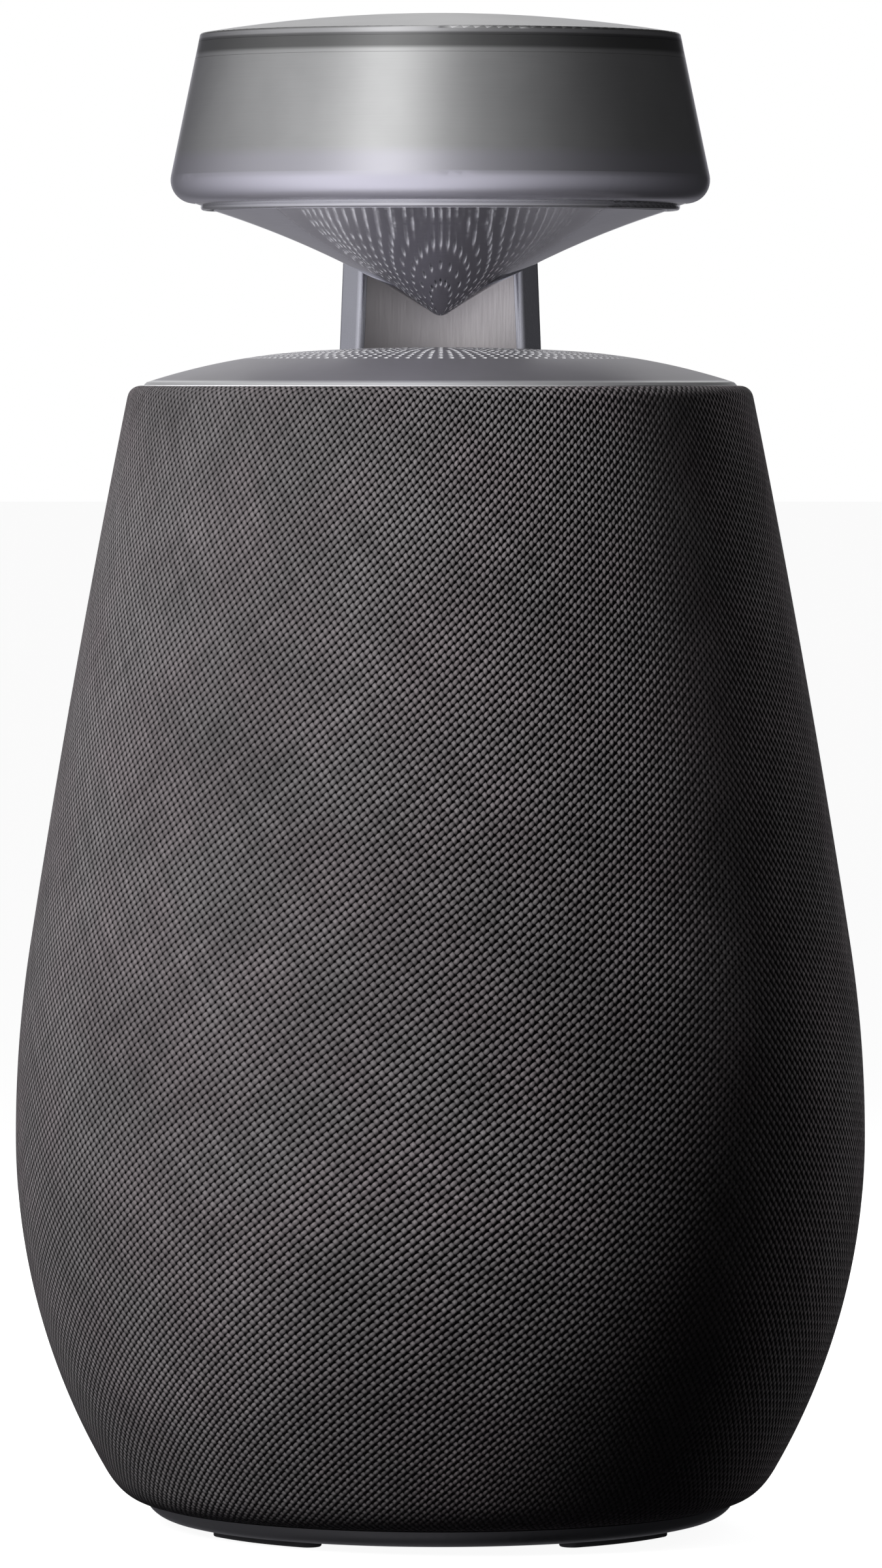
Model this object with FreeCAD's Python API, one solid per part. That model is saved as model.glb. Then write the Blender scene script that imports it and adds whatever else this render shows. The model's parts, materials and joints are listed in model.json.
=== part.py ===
import FreeCAD, Part

import math
import os

# A portable smart speaker hub that radiates all round: a barrel-shaped body under a woven fabric sleeve, a domed
# perforated top plate over the tweeter, and a crown that a curved metal neck at the back holds over it. The crown
# carries a polished reflector cone on its underside and a mood light inside. The woofer fires up at a deflector
# inside the body, and two passive radiators face left and right. A strip on the back holds the keys and the charging
# socket under a rubber cover.
# Millimetres. +Z is up, the front is -Y, and the origin is on the ground under the middle of the body.

V = FreeCAD.Vector
UP = V(0, 0, 1)
BACK = V(0, 1, 0)
RIGHT = V(1, 0, 0)

# ---- driving dimensions ------------------------------------------------------------------------------------------

# The body's outline: three tangent arcs, the lower and the middle one meeting at the belly.
BELLY_RADIUS = 68.0
BELLY_Z = 62.2
LOW_CURVE = 106.5
MID_CURVE = 200.0
MID_TOP_Z = 93.0
HIGH_CURVE = 2000.0

# How deep each layer of the body lies under that outline.
SLEEVE_DEPTH = (0.0, 0.9)
CAGE_DEPTH = (1.0, 2.8)
INNER_DEPTH = 3.2  # the outside of the base tray and the cabinet
WALL = 2.2

# Heights of the base.
BASE_Z = 1.0  # the base cover's underside; the feet drop below it to the ground
BASE_RADIUS = 43.0
BASE_TOP_Z = 3.8
BASE_TOP_RADIUS = 47.3
SKIN_START_Z = 9.0  # where the sleeve's rolled lower edge joins the outline
TRAY_Z = 6.2
TRAY_FLOOR = 2.0
TRAY_TOP_Z = 38.0
FOOT_RADIUS = 39.7
FOOT_HALF_WIDTH = 2.1
FOOT_HALF_ANGLE = 13.5
FOOT_DEPTH = 0.8  # how far a foot sits in its recess

# The acoustic cabinet.
CABINET_Z = 42.0
CABINET_TOP_Z = 117.0
GASKET = 0.6
LID = 2.6
LID_Z = CABINET_TOP_Z + GASKET
LID_TOP_Z = LID_Z + LID
CABINET_SCREW_RADIUS = 53.0

# The passive radiators, on the X axis.
RADIATOR_Z = 80.0
RADIATOR_SEAT_X = 51.5
RADIATOR_POCKET = 29.0
RADIATOR_HOLE = 25.2

# The control strip on the back.
STRIP_WIDTH = 20.0
STRIP_LOW_Z = 44.0
STRIP_HIGH_Z = 114.0
STRIP_CORNER = 5.0
STRIP_PROUD = 0.3
KEY_RADIUS = 4.0
KEY_PROUD = 0.9
KEY_TRAVEL_GAP = 0.95
KEY_HEIGHTS = {
    "play_button": 66.5,
    "volume_down_button": 76.5,
    "volume_up_button": 86.5,
    "pairing_button": 96.5,
    "power_button": 106.5,
}
BOARD_Y = 56.4
BOARD_THICKNESS = 1.2
SWITCH_HEIGHT = 1.5
PORT_Z = 52.6
PORT_WIDTH = 13.4
PORT_HEIGHT = 7.6
PORT_COVER_WIDTH = 16.4
PORT_COVER_LOW_Z = 46.4  # the height of the cover's hinge bead
PORT_COVER_HIGH_Z = 58.6
PORT_COVER_DEPTH = 1.4
HINGE_BEAD = 0.75
USB_FACE_DEPTH = 4.6

# The top of the body.
SLEEVE_TOP_Z = 182.2
SLEEVE_TOP_RADIUS = 47.6
PLATE_RADIUS = 47.35
PLATE_APEX_Z = 188.35
PLATE_INNER_CURVE = 369.0
PLATE_INNER_RADIUS = 20.0
PLATE_OUTER_CURVE = 105.0
PLATE_THICKNESS = 1.0
HOLE_RADIUS = 0.42
HOLE_RING_PITCH = 2.0
HOLE_RINGS = ((31.0, 6, 112), (19.0, 5, 56), (9.0, 2, 28), (5.0, 2, 14))  # outer radius, rings, holes in each
FRAME_Z = 181.3  # underside of the plate that carries the tweeter and the neck
FRAME_TOP_Z = 182.2
TOP_FRAME_RADIUS = 43.8

# The neck, a curved hollow column open to the front.
NECK_INNER = 22.0
NECK_OUTER = 27.5
NECK_LOW_Z = 182.3
NECK_TOP_Z = 213.3
NECK_HALF_ANGLE = 37.9  # at its foot
NECK_NARROWING = 0.077  # how far its sides' common corner moves back for each millimetre upwards
NECK_LINER = 0.55
NECK_BORDER = 1.2  # the bare edge left on each side of the liner
NECK_SCREW_ANGLE = 28.0

# The crown.
CROWN_TOP_Z = 241.5
CROWN_EDGE_Z = 238.3
CROWN_EDGE_RADIUS = 38.3
CROWN_SLOPE = 0.2065  # how much the drum widens for each millimetre downwards
CAP_LOW_Z = 237.0
LIGHT_RING_LOW_Z = 234.3
DRUM_FILLET = 3.7
DRUM_FILLET_RADIUS_AT = 39.36
DRUM_LOW_Z = 211.3
CONE_TIP_Z = 193.4
CONE_RIM_RADIUS = 36.2
CONE_RIM_Z = 210.1
CROWN_FRAME_Z = 213.4
CROWN_FRAME_TOP_Z = 215.4

# The drivers.
WOOFER_FLANGE_RADIUS = 42.6
WOOFER_CONE_RADIUS = 31.0
WOOFER_COIL_RADIUS = 12.3
WOOFER_SCREW_RADIUS = 40.4
DEFLECTOR_Z = 160.0
DEFLECTOR_RADIUS = 48.6
DEFLECTOR_TIP_Z = 130.0
POST_RADIUS_AT = 45.9


# ---- the body's outline ------------------------------------------------------------------------------------------

MID_ANGLE = math.asin((MID_TOP_Z - BELLY_Z) / MID_CURVE)
LOW_CENTRE = (BELLY_RADIUS - LOW_CURVE, BELLY_Z)
MID_CENTRE = (BELLY_RADIUS - MID_CURVE, BELLY_Z)
HIGH_CENTRE = (
    MID_CENTRE[0] + (MID_CURVE - HIGH_CURVE) * math.cos(MID_ANGLE),
    MID_TOP_Z - HIGH_CURVE * math.sin(MID_ANGLE),
)


def mid_top(depth):
    """The height where the middle arc ends, at a depth under the outline."""
    return BELLY_Z + (MID_CURVE - depth) * math.sin(MID_ANGLE)


def skin(z, depth=0.0):
    """The body's radius at height z, at a depth under its outline."""
    if z < BELLY_Z:
        centre, curve = LOW_CENTRE, LOW_CURVE
    elif z < mid_top(depth):
        centre, curve = MID_CENTRE, MID_CURVE
    else:
        centre, curve = HIGH_CENTRE, HIGH_CURVE
    return centre[0] + math.sqrt((curve - depth) ** 2 - (z - centre[1]) ** 2)


def skin_steps(depth, z_from, z_to):
    """The outline between two heights, up or down, as arc steps for turned()."""
    low, high = sorted((z_from, z_to))
    stops = [z for z in (BELLY_Z, mid_top(depth)) if low < z < high]
    stops = sorted([low, *stops, high], reverse=z_to < z_from)
    steps = []
    for a, b in zip(stops, stops[1:]):
        middle = (a + b) / 2
        steps.append(((skin(middle, depth), middle), (skin(b, depth), b)))
    return steps


# ---- helpers -----------------------------------------------------------------------------------------------------


def point(place):
    return V(place[0], 0, place[1])


def outline(start, steps):
    """A closed face in the XZ plane. A step is (r, z), or ((r, z) on the arc, (r, z) at its end)."""
    edges, here = [], start
    for step in [*steps, start]:
        if isinstance(step[0], tuple):
            middle, end = step
            edges.append(Part.Arc(point(here), point(middle), point(end)).toShape())
        else:
            end = step
            if math.dist(here, end) < 1e-6:
                continue
            edges.append(Part.LineSegment(point(here), point(end)).toShape())
        here = end
    return Part.Face(Part.Wire(edges))


def dome(top, edge, rise):
    """The arc step from (0, top) out to the edge of a round cap. A negative rise makes it a bowl."""
    ball = (edge**2 + rise**2) / (2 * rise)
    middle = edge / 2
    drop = ball - math.copysign(math.sqrt(ball**2 - middle**2), ball)
    return ((middle, top - drop), (edge, top - rise))


def dome_back(top, edge, rise):
    """The same arc step from the edge back in to the axis."""
    return (dome(top, edge, rise)[0], (0, top))


def turned(start, *steps):
    """A solid turned about the Z axis."""
    return outline(start, steps).revolve(V(0, 0, 0), UP, 360)


def turned_about_x(start, *steps):
    """A solid turned about the X axis at the radiators' height. Its outline is given as (radius, x)."""
    solid = turned(start, *steps)
    solid.rotate(V(0, 0, 0), BACK, 90)
    solid.translate(V(0, 0, RADIATOR_Z))
    return solid


def bar(radius, start, direction, length):
    return Part.makeCylinder(radius, length, start, direction)


def block(x_size, y_size, z_size, centre):
    corner = centre - V(x_size / 2, y_size / 2, z_size / 2)
    return Part.makeBox(x_size, y_size, z_size, corner)


def spun(shape, angle):
    """A copy turned about the Z axis."""
    copy = shape.copy()
    copy.rotate(V(0, 0, 0), UP, angle)
    return copy


def ring_of(shape, angles):
    return [spun(shape, angle) for angle in angles]


def at(radius, angle, z):
    """A place given by its distance from the Z axis, its angle from +X and its height."""
    turn = math.radians(angle)
    return V(radius * math.cos(turn), radius * math.sin(turn), z)


def slab(width, z_low, z_high, corner, y_from, y_to):
    """A rounded plate that stands in the XZ plane and is y_to - y_from thick."""
    plate = Part.makeBox(width, y_to - y_from, z_high - z_low, V(-width / 2, y_from, z_low))
    uprights = [e for e in plate.Edges if abs(e.tangentAt(e.FirstParameter).dot(BACK)) > 0.9]
    return plate.makeFillet(corner, uprights)


def body_solid(depth, z_low, z_high):
    """The whole body between two heights, at a depth under its outline."""
    return turned((0, z_low), (skin(z_low, depth), z_low), *skin_steps(depth, z_low, z_high), (0, z_high))


def screw(head_radius, head_height, shank_radius, shank_length, seat, direction):
    """A pan-head screw. seat is under its head, and direction runs along the shank."""
    head = bar(head_radius, seat, direction * -1, head_height)
    rim = max(head.Edges, key=lambda e: (e.CenterOfMass - seat).dot(direction * -1))
    head = head.makeFillet(head_height * 0.35, [rim])
    shank = bar(shank_radius, seat, direction, shank_length)
    side = RIGHT if abs(direction.dot(RIGHT)) < 0.5 else UP
    across = side.cross(direction)
    top = seat - direction * head_height
    slots = []
    for a, b in ((side, across), (across, side)):
        half = head_radius * 0.62
        corner = top - a * half - b * 0.22
        face = Part.Face(
            Part.makePolygon([corner, corner + a * 2 * half, corner + a * 2 * half + b * 0.44, corner + b * 0.44, corner])
        )
        slots.append(face.extrude(direction * (head_height * 0.55)))
    return head.fuse(shank).cut(slots[0].fuse(slots[1])).removeSplitter()


# ---- base --------------------------------------------------------------------------------------------------------

FOOT_ANGLES = (45, 135, 225, 315)


def foot_shape(grow, z_low, z_high):
    """One curved pad with round ends, at 0 degrees. grow widens it all round."""
    half = FOOT_HALF_WIDTH + grow
    pad = turned(
        (FOOT_RADIUS - half, z_low),
        (FOOT_RADIUS + half, z_low),
        (FOOT_RADIUS + half, z_high),
        (FOOT_RADIUS - half, z_high),
    )
    reach = 60.0
    spread = math.radians(FOOT_HALF_ANGLE)
    tip = (reach * math.cos(spread), reach * math.sin(spread))
    wedge = Part.Face(
        Part.makePolygon([V(0, 0, z_low), V(tip[0], -tip[1], z_low), V(tip[0], tip[1], z_low), V(0, 0, z_low)])
    ).extrude(V(0, 0, z_high - z_low))
    pad = pad.common(wedge)
    for side in (-1, 1):
        pad = pad.fuse(bar(half, at(FOOT_RADIUS, side * FOOT_HALF_ANGLE, z_low), UP, z_high - z_low))
    return pad.removeSplitter()


def feet():
    pad = foot_shape(0, 0, BASE_Z + FOOT_DEPTH)
    ground_edges = [e for e in pad.Edges if e.BoundBox.ZMax < 0.01]
    return Part.Compound(ring_of(pad.makeFillet(0.35, ground_edges), FOOT_ANGLES))


def base_cover():
    floor = 1.8
    dish = turned(
        (0, BASE_Z),
        (BASE_RADIUS, BASE_Z),
        ((45.7, 1.95), (BASE_TOP_RADIUS, BASE_TOP_Z)),
        (BASE_TOP_RADIUS - 1.6, BASE_TOP_Z),
        ((44.9, 3.25), (BASE_RADIUS - 0.4, BASE_Z + floor)),
        (0, BASE_Z + floor),
    )
    boss = bar(3.6, at(FOOT_RADIUS, 0, BASE_Z + floor), UP, TRAY_Z - 0.1 - BASE_Z - floor)
    dish = dish.fuse(ring_of(boss, FOOT_ANGLES))
    recess = foot_shape(0.1, BASE_Z - 1, BASE_Z + FOOT_DEPTH)
    head_seat = bar(2.5, at(FOOT_RADIUS, 0, BASE_Z), UP, 2.8)
    clearance = bar(1.5, at(FOOT_RADIUS, 0, BASE_Z), UP, 8)
    return dish.cut(ring_of(recess.fuse([head_seat, clearance]), FOOT_ANGLES)).removeSplitter()


def base_screws():
    one = screw(2.2, 1.5, 1.25, 10.5, at(FOOT_RADIUS, 0, BASE_Z + 2.8), UP)
    return Part.Compound(ring_of(one, FOOT_ANGLES))


def base_tray():
    floor_top = TRAY_Z + TRAY_FLOOR
    tray = turned(
        (0, TRAY_Z),
        (46.6, TRAY_Z),
        (skin(10.2, INNER_DEPTH), 10.2),
        *skin_steps(INNER_DEPTH, 10.2, TRAY_TOP_Z),
        (skin(TRAY_TOP_Z, INNER_DEPTH + WALL), TRAY_TOP_Z),
        *skin_steps(INNER_DEPTH + WALL, TRAY_TOP_Z, 11.5),
        (45.2, floor_top),
        (0, floor_top),
    )
    boss = bar(3.4, at(FOOT_RADIUS, 0, floor_top - 0.5), UP, 9)
    standoff = bar(2.8, at(BOARD_POST_RADIUS, 0, floor_top - 0.5), UP, MAIN_BOARD_Z - floor_top + 0.5)
    tray = tray.fuse([*ring_of(boss, FOOT_ANGLES), *ring_of(standoff, BOARD_POST_ANGLES)])
    pilot = bar(1.3, at(FOOT_RADIUS, 0, TRAY_Z - 1), UP, 10.5)
    board_pilot = bar(0.9, at(BOARD_POST_RADIUS, 0, MAIN_BOARD_Z - 8), UP, 9)
    return tray.cut([*ring_of(pilot, FOOT_ANGLES), *ring_of(board_pilot, BOARD_POST_ANGLES)])


MAIN_BOARD_Z = 30.0
MAIN_BOARD_THICKNESS = 1.6
MAIN_BOARD_RADIUS = 46.0
BOARD_POST_RADIUS = 41.5
BOARD_POST_ANGLES = (0, 90, 180, 270)
CELL_RADIUS = 9.2
CELL_LENGTH = 65.0
CELL_Y = 9.9
CELL_Z = 19.2


def battery_cells():
    cells = []
    for side in (-1, 1):
        start = V(-CELL_LENGTH / 2, side * CELL_Y, CELL_Z)
        cell = bar(CELL_RADIUS, start, RIGHT, CELL_LENGTH)
        cell = cell.makeFillet(0.8, [e for e in cell.Edges if e.Curve.TypeId == "Part::GeomCircle"])
        cells.append(cell.fuse(bar(3.0, start, RIGHT, CELL_LENGTH + 1.2)).removeSplitter())
    return Part.Compound(cells)


def battery_holder():
    low = TRAY_Z + TRAY_FLOOR + 0.1
    cradle = block(73, 41, CELL_Z - 2.0 - low, V(0, 0, (CELL_Z - 2.0 + low) / 2))
    ends = [block(2.2, 41, 20, V(side * 35.4, 0, low + 10)) for side in (-1, 1)]
    cradle = cradle.fuse(ends)
    troughs = [bar(CELL_RADIUS + 0.15, V(-34.2, side * CELL_Y, CELL_Z), RIGHT, 68.4) for side in (-1, 1)]
    return cradle.cut(troughs).removeSplitter()


def main_board():
    disc = bar(MAIN_BOARD_RADIUS, V(0, 0, MAIN_BOARD_Z), UP, MAIN_BOARD_THICKNESS)
    hole = bar(1.15, at(BOARD_POST_RADIUS, 0, MAIN_BOARD_Z - 1), UP, 4)
    cable_notch = block(16, 10, 6, V(0, MAIN_BOARD_RADIUS, MAIN_BOARD_Z))
    holes = ring_of(hole, (0, 180, 270))
    return disc.cut([*holes, cable_notch.translated(V(20, 0, 0)), spun(hole, 90)])


def board_components():
    """The larger parts soldered on the main board: x size, y size, height, x, y."""
    top = MAIN_BOARD_Z + MAIN_BOARD_THICKNESS
    chips = (
        (14, 14, 1.4, 0, 2),
        (9, 9, 1.2, 19, -12),
        (18, 24, 2.4, -22, 8),
        (7, 7, 1.0, 2, -22),
        (12, 12, 5.0, 22, 12),
        (7.5, 7.5, 3.2, 34, -8),
        (7.5, 7.5, 3.2, 34, 4),
        (5, 12, 4.5, -34, -14),
        (14, 5, 5.5, -6, 34),
        (12, 5, 5.5, 10, -36),
    )
    parts = [block(x, y, h, V(px, py, top + h / 2)) for x, y, h, px, py in chips]
    cans = ((5.0, 8.0, -14, -22), (5.0, 8.0, -24, -28), (4.0, 7.0, 22, -28), (4.0, 7.0, 30, -22))
    for radius, height, x, y in cans:
        can = bar(radius, V(x, y, top), UP, height)
        rim = [e for e in can.Edges if e.BoundBox.ZMin > top + height - 0.01]
        parts.append(can.makeFillet(0.5, rim))
    return Part.Compound(parts)


def board_screws():
    one = screw(1.9, 1.3, 0.85, 7.5, at(BOARD_POST_RADIUS, 0, MAIN_BOARD_Z + MAIN_BOARD_THICKNESS), V(0, 0, -1))
    return Part.Compound(ring_of(one, BOARD_POST_ANGLES))


# ---- sleeve and cage ---------------------------------------------------------------------------------------------


def fabric_sleeve():
    """The woven cover, rolled under at the base and over at the top."""
    outer, inner = SLEEVE_DEPTH
    low_z, top_z = BASE_TOP_Z + 0.15, SLEEVE_TOP_Z
    shell = turned(
        (BASE_TOP_RADIUS + 0.2, low_z),
        ((51.3, 5.75), (skin(SKIN_START_Z, outer), SKIN_START_Z)),
        *skin_steps(outer, SKIN_START_Z, top_z - 2.3),
        ((skin(top_z) - 0.55, top_z - 0.6), (skin(top_z) - 2.1, top_z)),
        (SLEEVE_TOP_RADIUS, top_z),
        (SLEEVE_TOP_RADIUS, top_z - inner),
        (skin(top_z) - 2.1, top_z - inner),
        ((skin(top_z) - 1.25, top_z - 1.25), (skin(top_z - 2.3, inner), top_z - 2.3)),
        *skin_steps(inner, top_z - 2.3, SKIN_START_Z),
        ((50.55, 6.3), (BASE_TOP_RADIUS + 0.2, low_z + inner)),
    )
    return shell.cut(slab(STRIP_WIDTH + 0.4, STRIP_LOW_Z - 0.2, STRIP_HIGH_Z + 0.2, STRIP_CORNER + 0.2, 40, 80))


CAGE_WINDOW = 15.0
CAGE_COLUMNS = 18
CAGE_ROWS = ((18, 38), (44, 64), (70, 90), (96, 114), (124, 144), (150, 170))


def grille_cage():
    """The plastic cage that the fabric is stretched over, open in columns of windows for the sound."""
    outer, inner = CAGE_DEPTH
    low_z, top_z = BASE_TOP_Z + 1.15, SLEEVE_TOP_Z - SLEEVE_DEPTH[1] - 0.1
    thick = inner - outer
    shell = turned(
        (BASE_RADIUS + 1.0, low_z),
        (BASE_TOP_RADIUS + 0.2, low_z),
        ((50.45, 6.45), (skin(SKIN_START_Z, outer), SKIN_START_Z)),
        *skin_steps(outer, SKIN_START_Z, top_z - 1.6),
        ((skin(top_z) - 1.45, top_z - 0.4), (skin(top_z) - 2.6, top_z)),
        (39.5, top_z),
        (39.5, top_z - thick),
        (skin(top_z - thick, inner) - 0.4, top_z - thick),
        (skin(top_z - thick - 0.4, inner), top_z - thick - 0.4),
        *skin_steps(inner, top_z - thick - 0.4, 10.4),
        (BASE_TOP_RADIUS - 0.3, low_z + 1.15),
        (BASE_RADIUS + 1.0, low_z + 1.15),
    )
    windows = []
    for low, high in CAGE_ROWS:
        hidden = high > STRIP_LOW_Z - 2 and low < STRIP_HIGH_Z
        for n in range(CAGE_COLUMNS):
            angle = 360 / CAGE_COLUMNS * (n + 0.5)
            if hidden and abs(angle - 90) < 15:
                continue
            windows.append(spun(block(34, CAGE_WINDOW, high - low, V(60, 0, (low + high) / 2)), angle))
    opening = slab(STRIP_WIDTH + 0.4, STRIP_LOW_Z - 0.2, STRIP_HIGH_Z + 0.2, STRIP_CORNER + 0.2, 40, 80)
    return shell.cut([*windows, opening])


# ---- cabinet -----------------------------------------------------------------------------------------------------

CABINET_SCREW_ANGLES = (45, 135, 225, 315)
STRIP_POCKET_HALF = 13.0
STRIP_POCKET_Y = BOARD_Y - 0.5


def pockets(grow):
    """The hollows in the cabinet's outside for the radiators and the control strip, grown by a wall."""
    found = [
        bar(RADIATOR_POCKET + grow, V(side * (RADIATOR_SEAT_X - grow), 0, RADIATOR_Z), V(side, 0, 0), 40)
        for side in (-1, 1)
    ]
    low, high = STRIP_LOW_Z + 0.6 - grow, CABINET_TOP_Z - 1.2 + grow
    half = STRIP_POCKET_HALF + grow
    found.append(Part.makeBox(2 * half, 40, high - low, V(-half, STRIP_POCKET_Y - grow, low)))
    return found


def cabinet_tub():
    outside = body_solid(INNER_DEPTH, CABINET_Z, CABINET_TOP_Z).cut(pockets(0))
    inside = body_solid(INNER_DEPTH + WALL, CABINET_Z + 2.4, CABINET_TOP_Z + 5).cut(pockets(WALL))
    tub = outside.cut(inside)
    top_cap = block(60, 40, 4, V(0, 74, CABINET_TOP_Z + 2))
    tub = tub.cut(top_cap)
    boss = bar(3.4, at(CABINET_SCREW_RADIUS, 0, CABINET_TOP_Z - 14), UP, 14)
    tub = tub.fuse(ring_of(boss, CABINET_SCREW_ANGLES))
    pilot = bar(1.05, at(CABINET_SCREW_RADIUS, 0, CABINET_TOP_Z - 11), UP, 12)
    windows = [
        bar(RADIATOR_HOLE, V(side * (RADIATOR_SEAT_X - WALL - 1), 0, RADIATOR_Z), V(side, 0, 0), WALL + 2)
        for side in (-1, 1)
    ]
    return tub.cut([*ring_of(pilot, CABINET_SCREW_ANGLES), *windows]).removeSplitter()


def cabinet_gasket():
    outer = skin(CABINET_TOP_Z, INNER_DEPTH) - 0.1
    ring = turned(
        (outer - 1.8, CABINET_TOP_Z),
        (outer, CABINET_TOP_Z),
        (outer, LID_Z),
        (outer - 1.8, LID_Z),
    )
    return ring


def cabinet_lid():
    """The baffle that closes the cabinet and carries the woofer and the deflector's posts."""
    lid = bar(skin(LID_TOP_Z, INNER_DEPTH) - 0.2, V(0, 0, LID_Z), UP, LID)
    boss = bar(2.6, at(WOOFER_SCREW_RADIUS, 0, LID_Z - 6.5), UP, 7)
    lid = lid.fuse(ring_of(boss, WOOFER_SCREW_ANGLES))
    opening = bar(36.9, V(0, 0, LID_Z - 10), UP, 20)
    screw_hole = bar(1.2, at(CABINET_SCREW_RADIUS, 0, LID_Z - 1), UP, 5)
    pilot = bar(1.0, at(WOOFER_SCREW_RADIUS, 0, LID_Z - 10), UP, 20)
    holes = [*ring_of(screw_hole, CABINET_SCREW_ANGLES), *ring_of(pilot, WOOFER_SCREW_ANGLES)]
    return lid.cut([opening, *holes]).removeSplitter()


def cabinet_screws():
    one = screw(2.1, 1.5, 0.95, 11.5, at(CABINET_SCREW_RADIUS, 0, LID_TOP_Z), V(0, 0, -1))
    return Part.Compound(ring_of(one, CABINET_SCREW_ANGLES))


# ---- passive radiators -------------------------------------------------------------------------------------------

RADIATOR_FRAME = 2.0
RADIATOR_PLATE_RADIUS = 19.4
SURROUND_THICKNESS = 0.6


def mirrored(shape):
    return shape.mirror(V(0, 0, 0), RIGHT)


def radiator_frames():
    low = RADIATOR_SEAT_X
    frame = turned_about_x(
        (RADIATOR_HOLE, low),
        (RADIATOR_POCKET - 0.3, low),
        (RADIATOR_POCKET - 0.3, low + RADIATOR_FRAME),
        (RADIATOR_HOLE, low + RADIATOR_FRAME),
    )
    return Part.Compound([frame, mirrored(frame)])


def radiator_surround():
    """A half-round rubber roll with a flat flange on each side."""
    seat = RADIATOR_SEAT_X + RADIATOR_FRAME
    top = seat + SURROUND_THICKNESS
    outer, inner = 25.3, RADIATOR_PLATE_RADIUS + 0.4
    middle = (outer + inner) / 2
    roll = (outer - inner) / 2
    return turned_about_x(
        (17.2, seat),
        (inner, seat),
        ((middle, seat + roll), (outer, seat)),
        (RADIATOR_POCKET - 0.8, seat),
        (RADIATOR_POCKET - 0.8, top),
        (outer - 0.3, top),
        ((middle, top + roll), (inner + 0.3, top)),
        (17.2, top),
    )


def radiator_plate():
    """The stiff plate with its steel weight behind."""
    top = RADIATOR_SEAT_X + RADIATOR_FRAME
    return turned_about_x(
        (0, top - 3.6),
        (8.0, top - 3.6),
        (8.0, top - 1.8),
        (RADIATOR_PLATE_RADIUS, top - 1.8),
        (RADIATOR_PLATE_RADIUS, top),
        (17.0, top),
        (16.2, top + 1.0),
        (0, top + 1.0),
    )


# ---- woofer ------------------------------------------------------------------------------------------------------

WOOFER_SCREW_ANGLES = (0, 90, 180, 270)
MAGNET_LOW_Z = 83.0
YOKE_PLATE = 4.0
MAGNET_HEIGHT = 10.0
TOP_PLATE = 4.0
MAGNET_TOP_Z = MAGNET_LOW_Z + YOKE_PLATE + MAGNET_HEIGHT
BASKET_LOW_Z = MAGNET_TOP_Z + TOP_PLATE
SPIDER_Z = 105.2
CONE_LOW_Z = 108.0
CONE_TOP_Z = 118.6
ROLL = 2.6


def woofer_yoke():
    plate_top = MAGNET_LOW_Z + YOKE_PLATE
    return turned(
        (0, MAGNET_LOW_Z),
        (26.0, MAGNET_LOW_Z),
        (27.0, MAGNET_LOW_Z + 1.0),
        (27.0, plate_top),
        (12.0, plate_top),
        (12.0, BASKET_LOW_Z),
        (4.0, BASKET_LOW_Z),
        (4.0, plate_top + 2),
        (0, plate_top + 2),
    )


def woofer_magnet():
    low = MAGNET_LOW_Z + YOKE_PLATE
    return turned((15.0, low), (30.0, low), (30.0, MAGNET_TOP_Z), (15.0, MAGNET_TOP_Z))


def woofer_pole_ring():
    """The steel ring over the magnet, which closes the voice coil's gap."""
    return turned((13.2, MAGNET_TOP_Z), (27.0, MAGNET_TOP_Z), (27.0, BASKET_LOW_Z), (13.2, BASKET_LOW_Z))


def woofer_basket():
    low, seat = BASKET_LOW_Z, LID_TOP_Z
    basket = turned(
        (15.0, low),
        (27.4, low),
        (36.6, seat - 4.0),
        (36.6, seat),
        (WOOFER_FLANGE_RADIUS, seat),
        (WOOFER_FLANGE_RADIUS, seat + 1.4),
        (34.9, seat + 1.4),
        (34.9, seat - 3.5),
        (27.6, SPIDER_Z + 0.2),
        (25.4, SPIDER_Z + 0.2),
        (25.4, low + 1.6),
        (15.0, low + 1.6),
    )
    window = block(12, 14, 8.6, V(33, 0, 111.0))
    hole = bar(1.2, at(WOOFER_SCREW_RADIUS, 0, seat - 1), UP, 4)
    windows = ring_of(window, [22.5 + 45 * n for n in range(8)])
    return basket.cut([*windows, *ring_of(hole, WOOFER_SCREW_ANGLES)])


def woofer_spider():
    """The corrugated disc that centres the voice coil."""
    inner, outer, waves, depth, thick = WOOFER_COIL_RADIUS + 0.75, 25.2, 4, 0.7, 0.45
    pitch = (outer - inner) / (2 * waves)
    lower = [(inner + pitch * n, SPIDER_Z + (depth if n % 2 else 0)) for n in range(2 * waves + 1)]
    upper = [(r, z + thick) for r, z in reversed(lower)]
    return turned(lower[0], *lower[1:], *upper)


def voice_coil():
    """The former tube with its winding at the lower end."""
    inner = WOOFER_COIL_RADIUS
    return turned(
        (inner, 95.5),
        (inner + 0.6, 95.5),
        (inner + 0.6, 103.0),
        (inner + 0.3, 103.0),
        (inner + 0.3, CONE_LOW_Z + 0.4),
        (inner, CONE_LOW_Z + 0.4),
    )


def woofer_cone():
    neck = WOOFER_COIL_RADIUS + 0.35
    return turned(
        (neck, CONE_LOW_Z - 0.6),
        (neck + 0.6, CONE_LOW_Z - 0.6),
        ((22.5, 112.1), (WOOFER_CONE_RADIUS, CONE_TOP_Z - 0.6)),
        (WOOFER_CONE_RADIUS, CONE_TOP_Z),
        (WOOFER_CONE_RADIUS - 0.6, CONE_TOP_Z),
        ((21.9, 112.9), (neck + 0.3, CONE_LOW_Z + 0.5)),
        (neck, CONE_LOW_Z + 0.5),
    )


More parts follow.
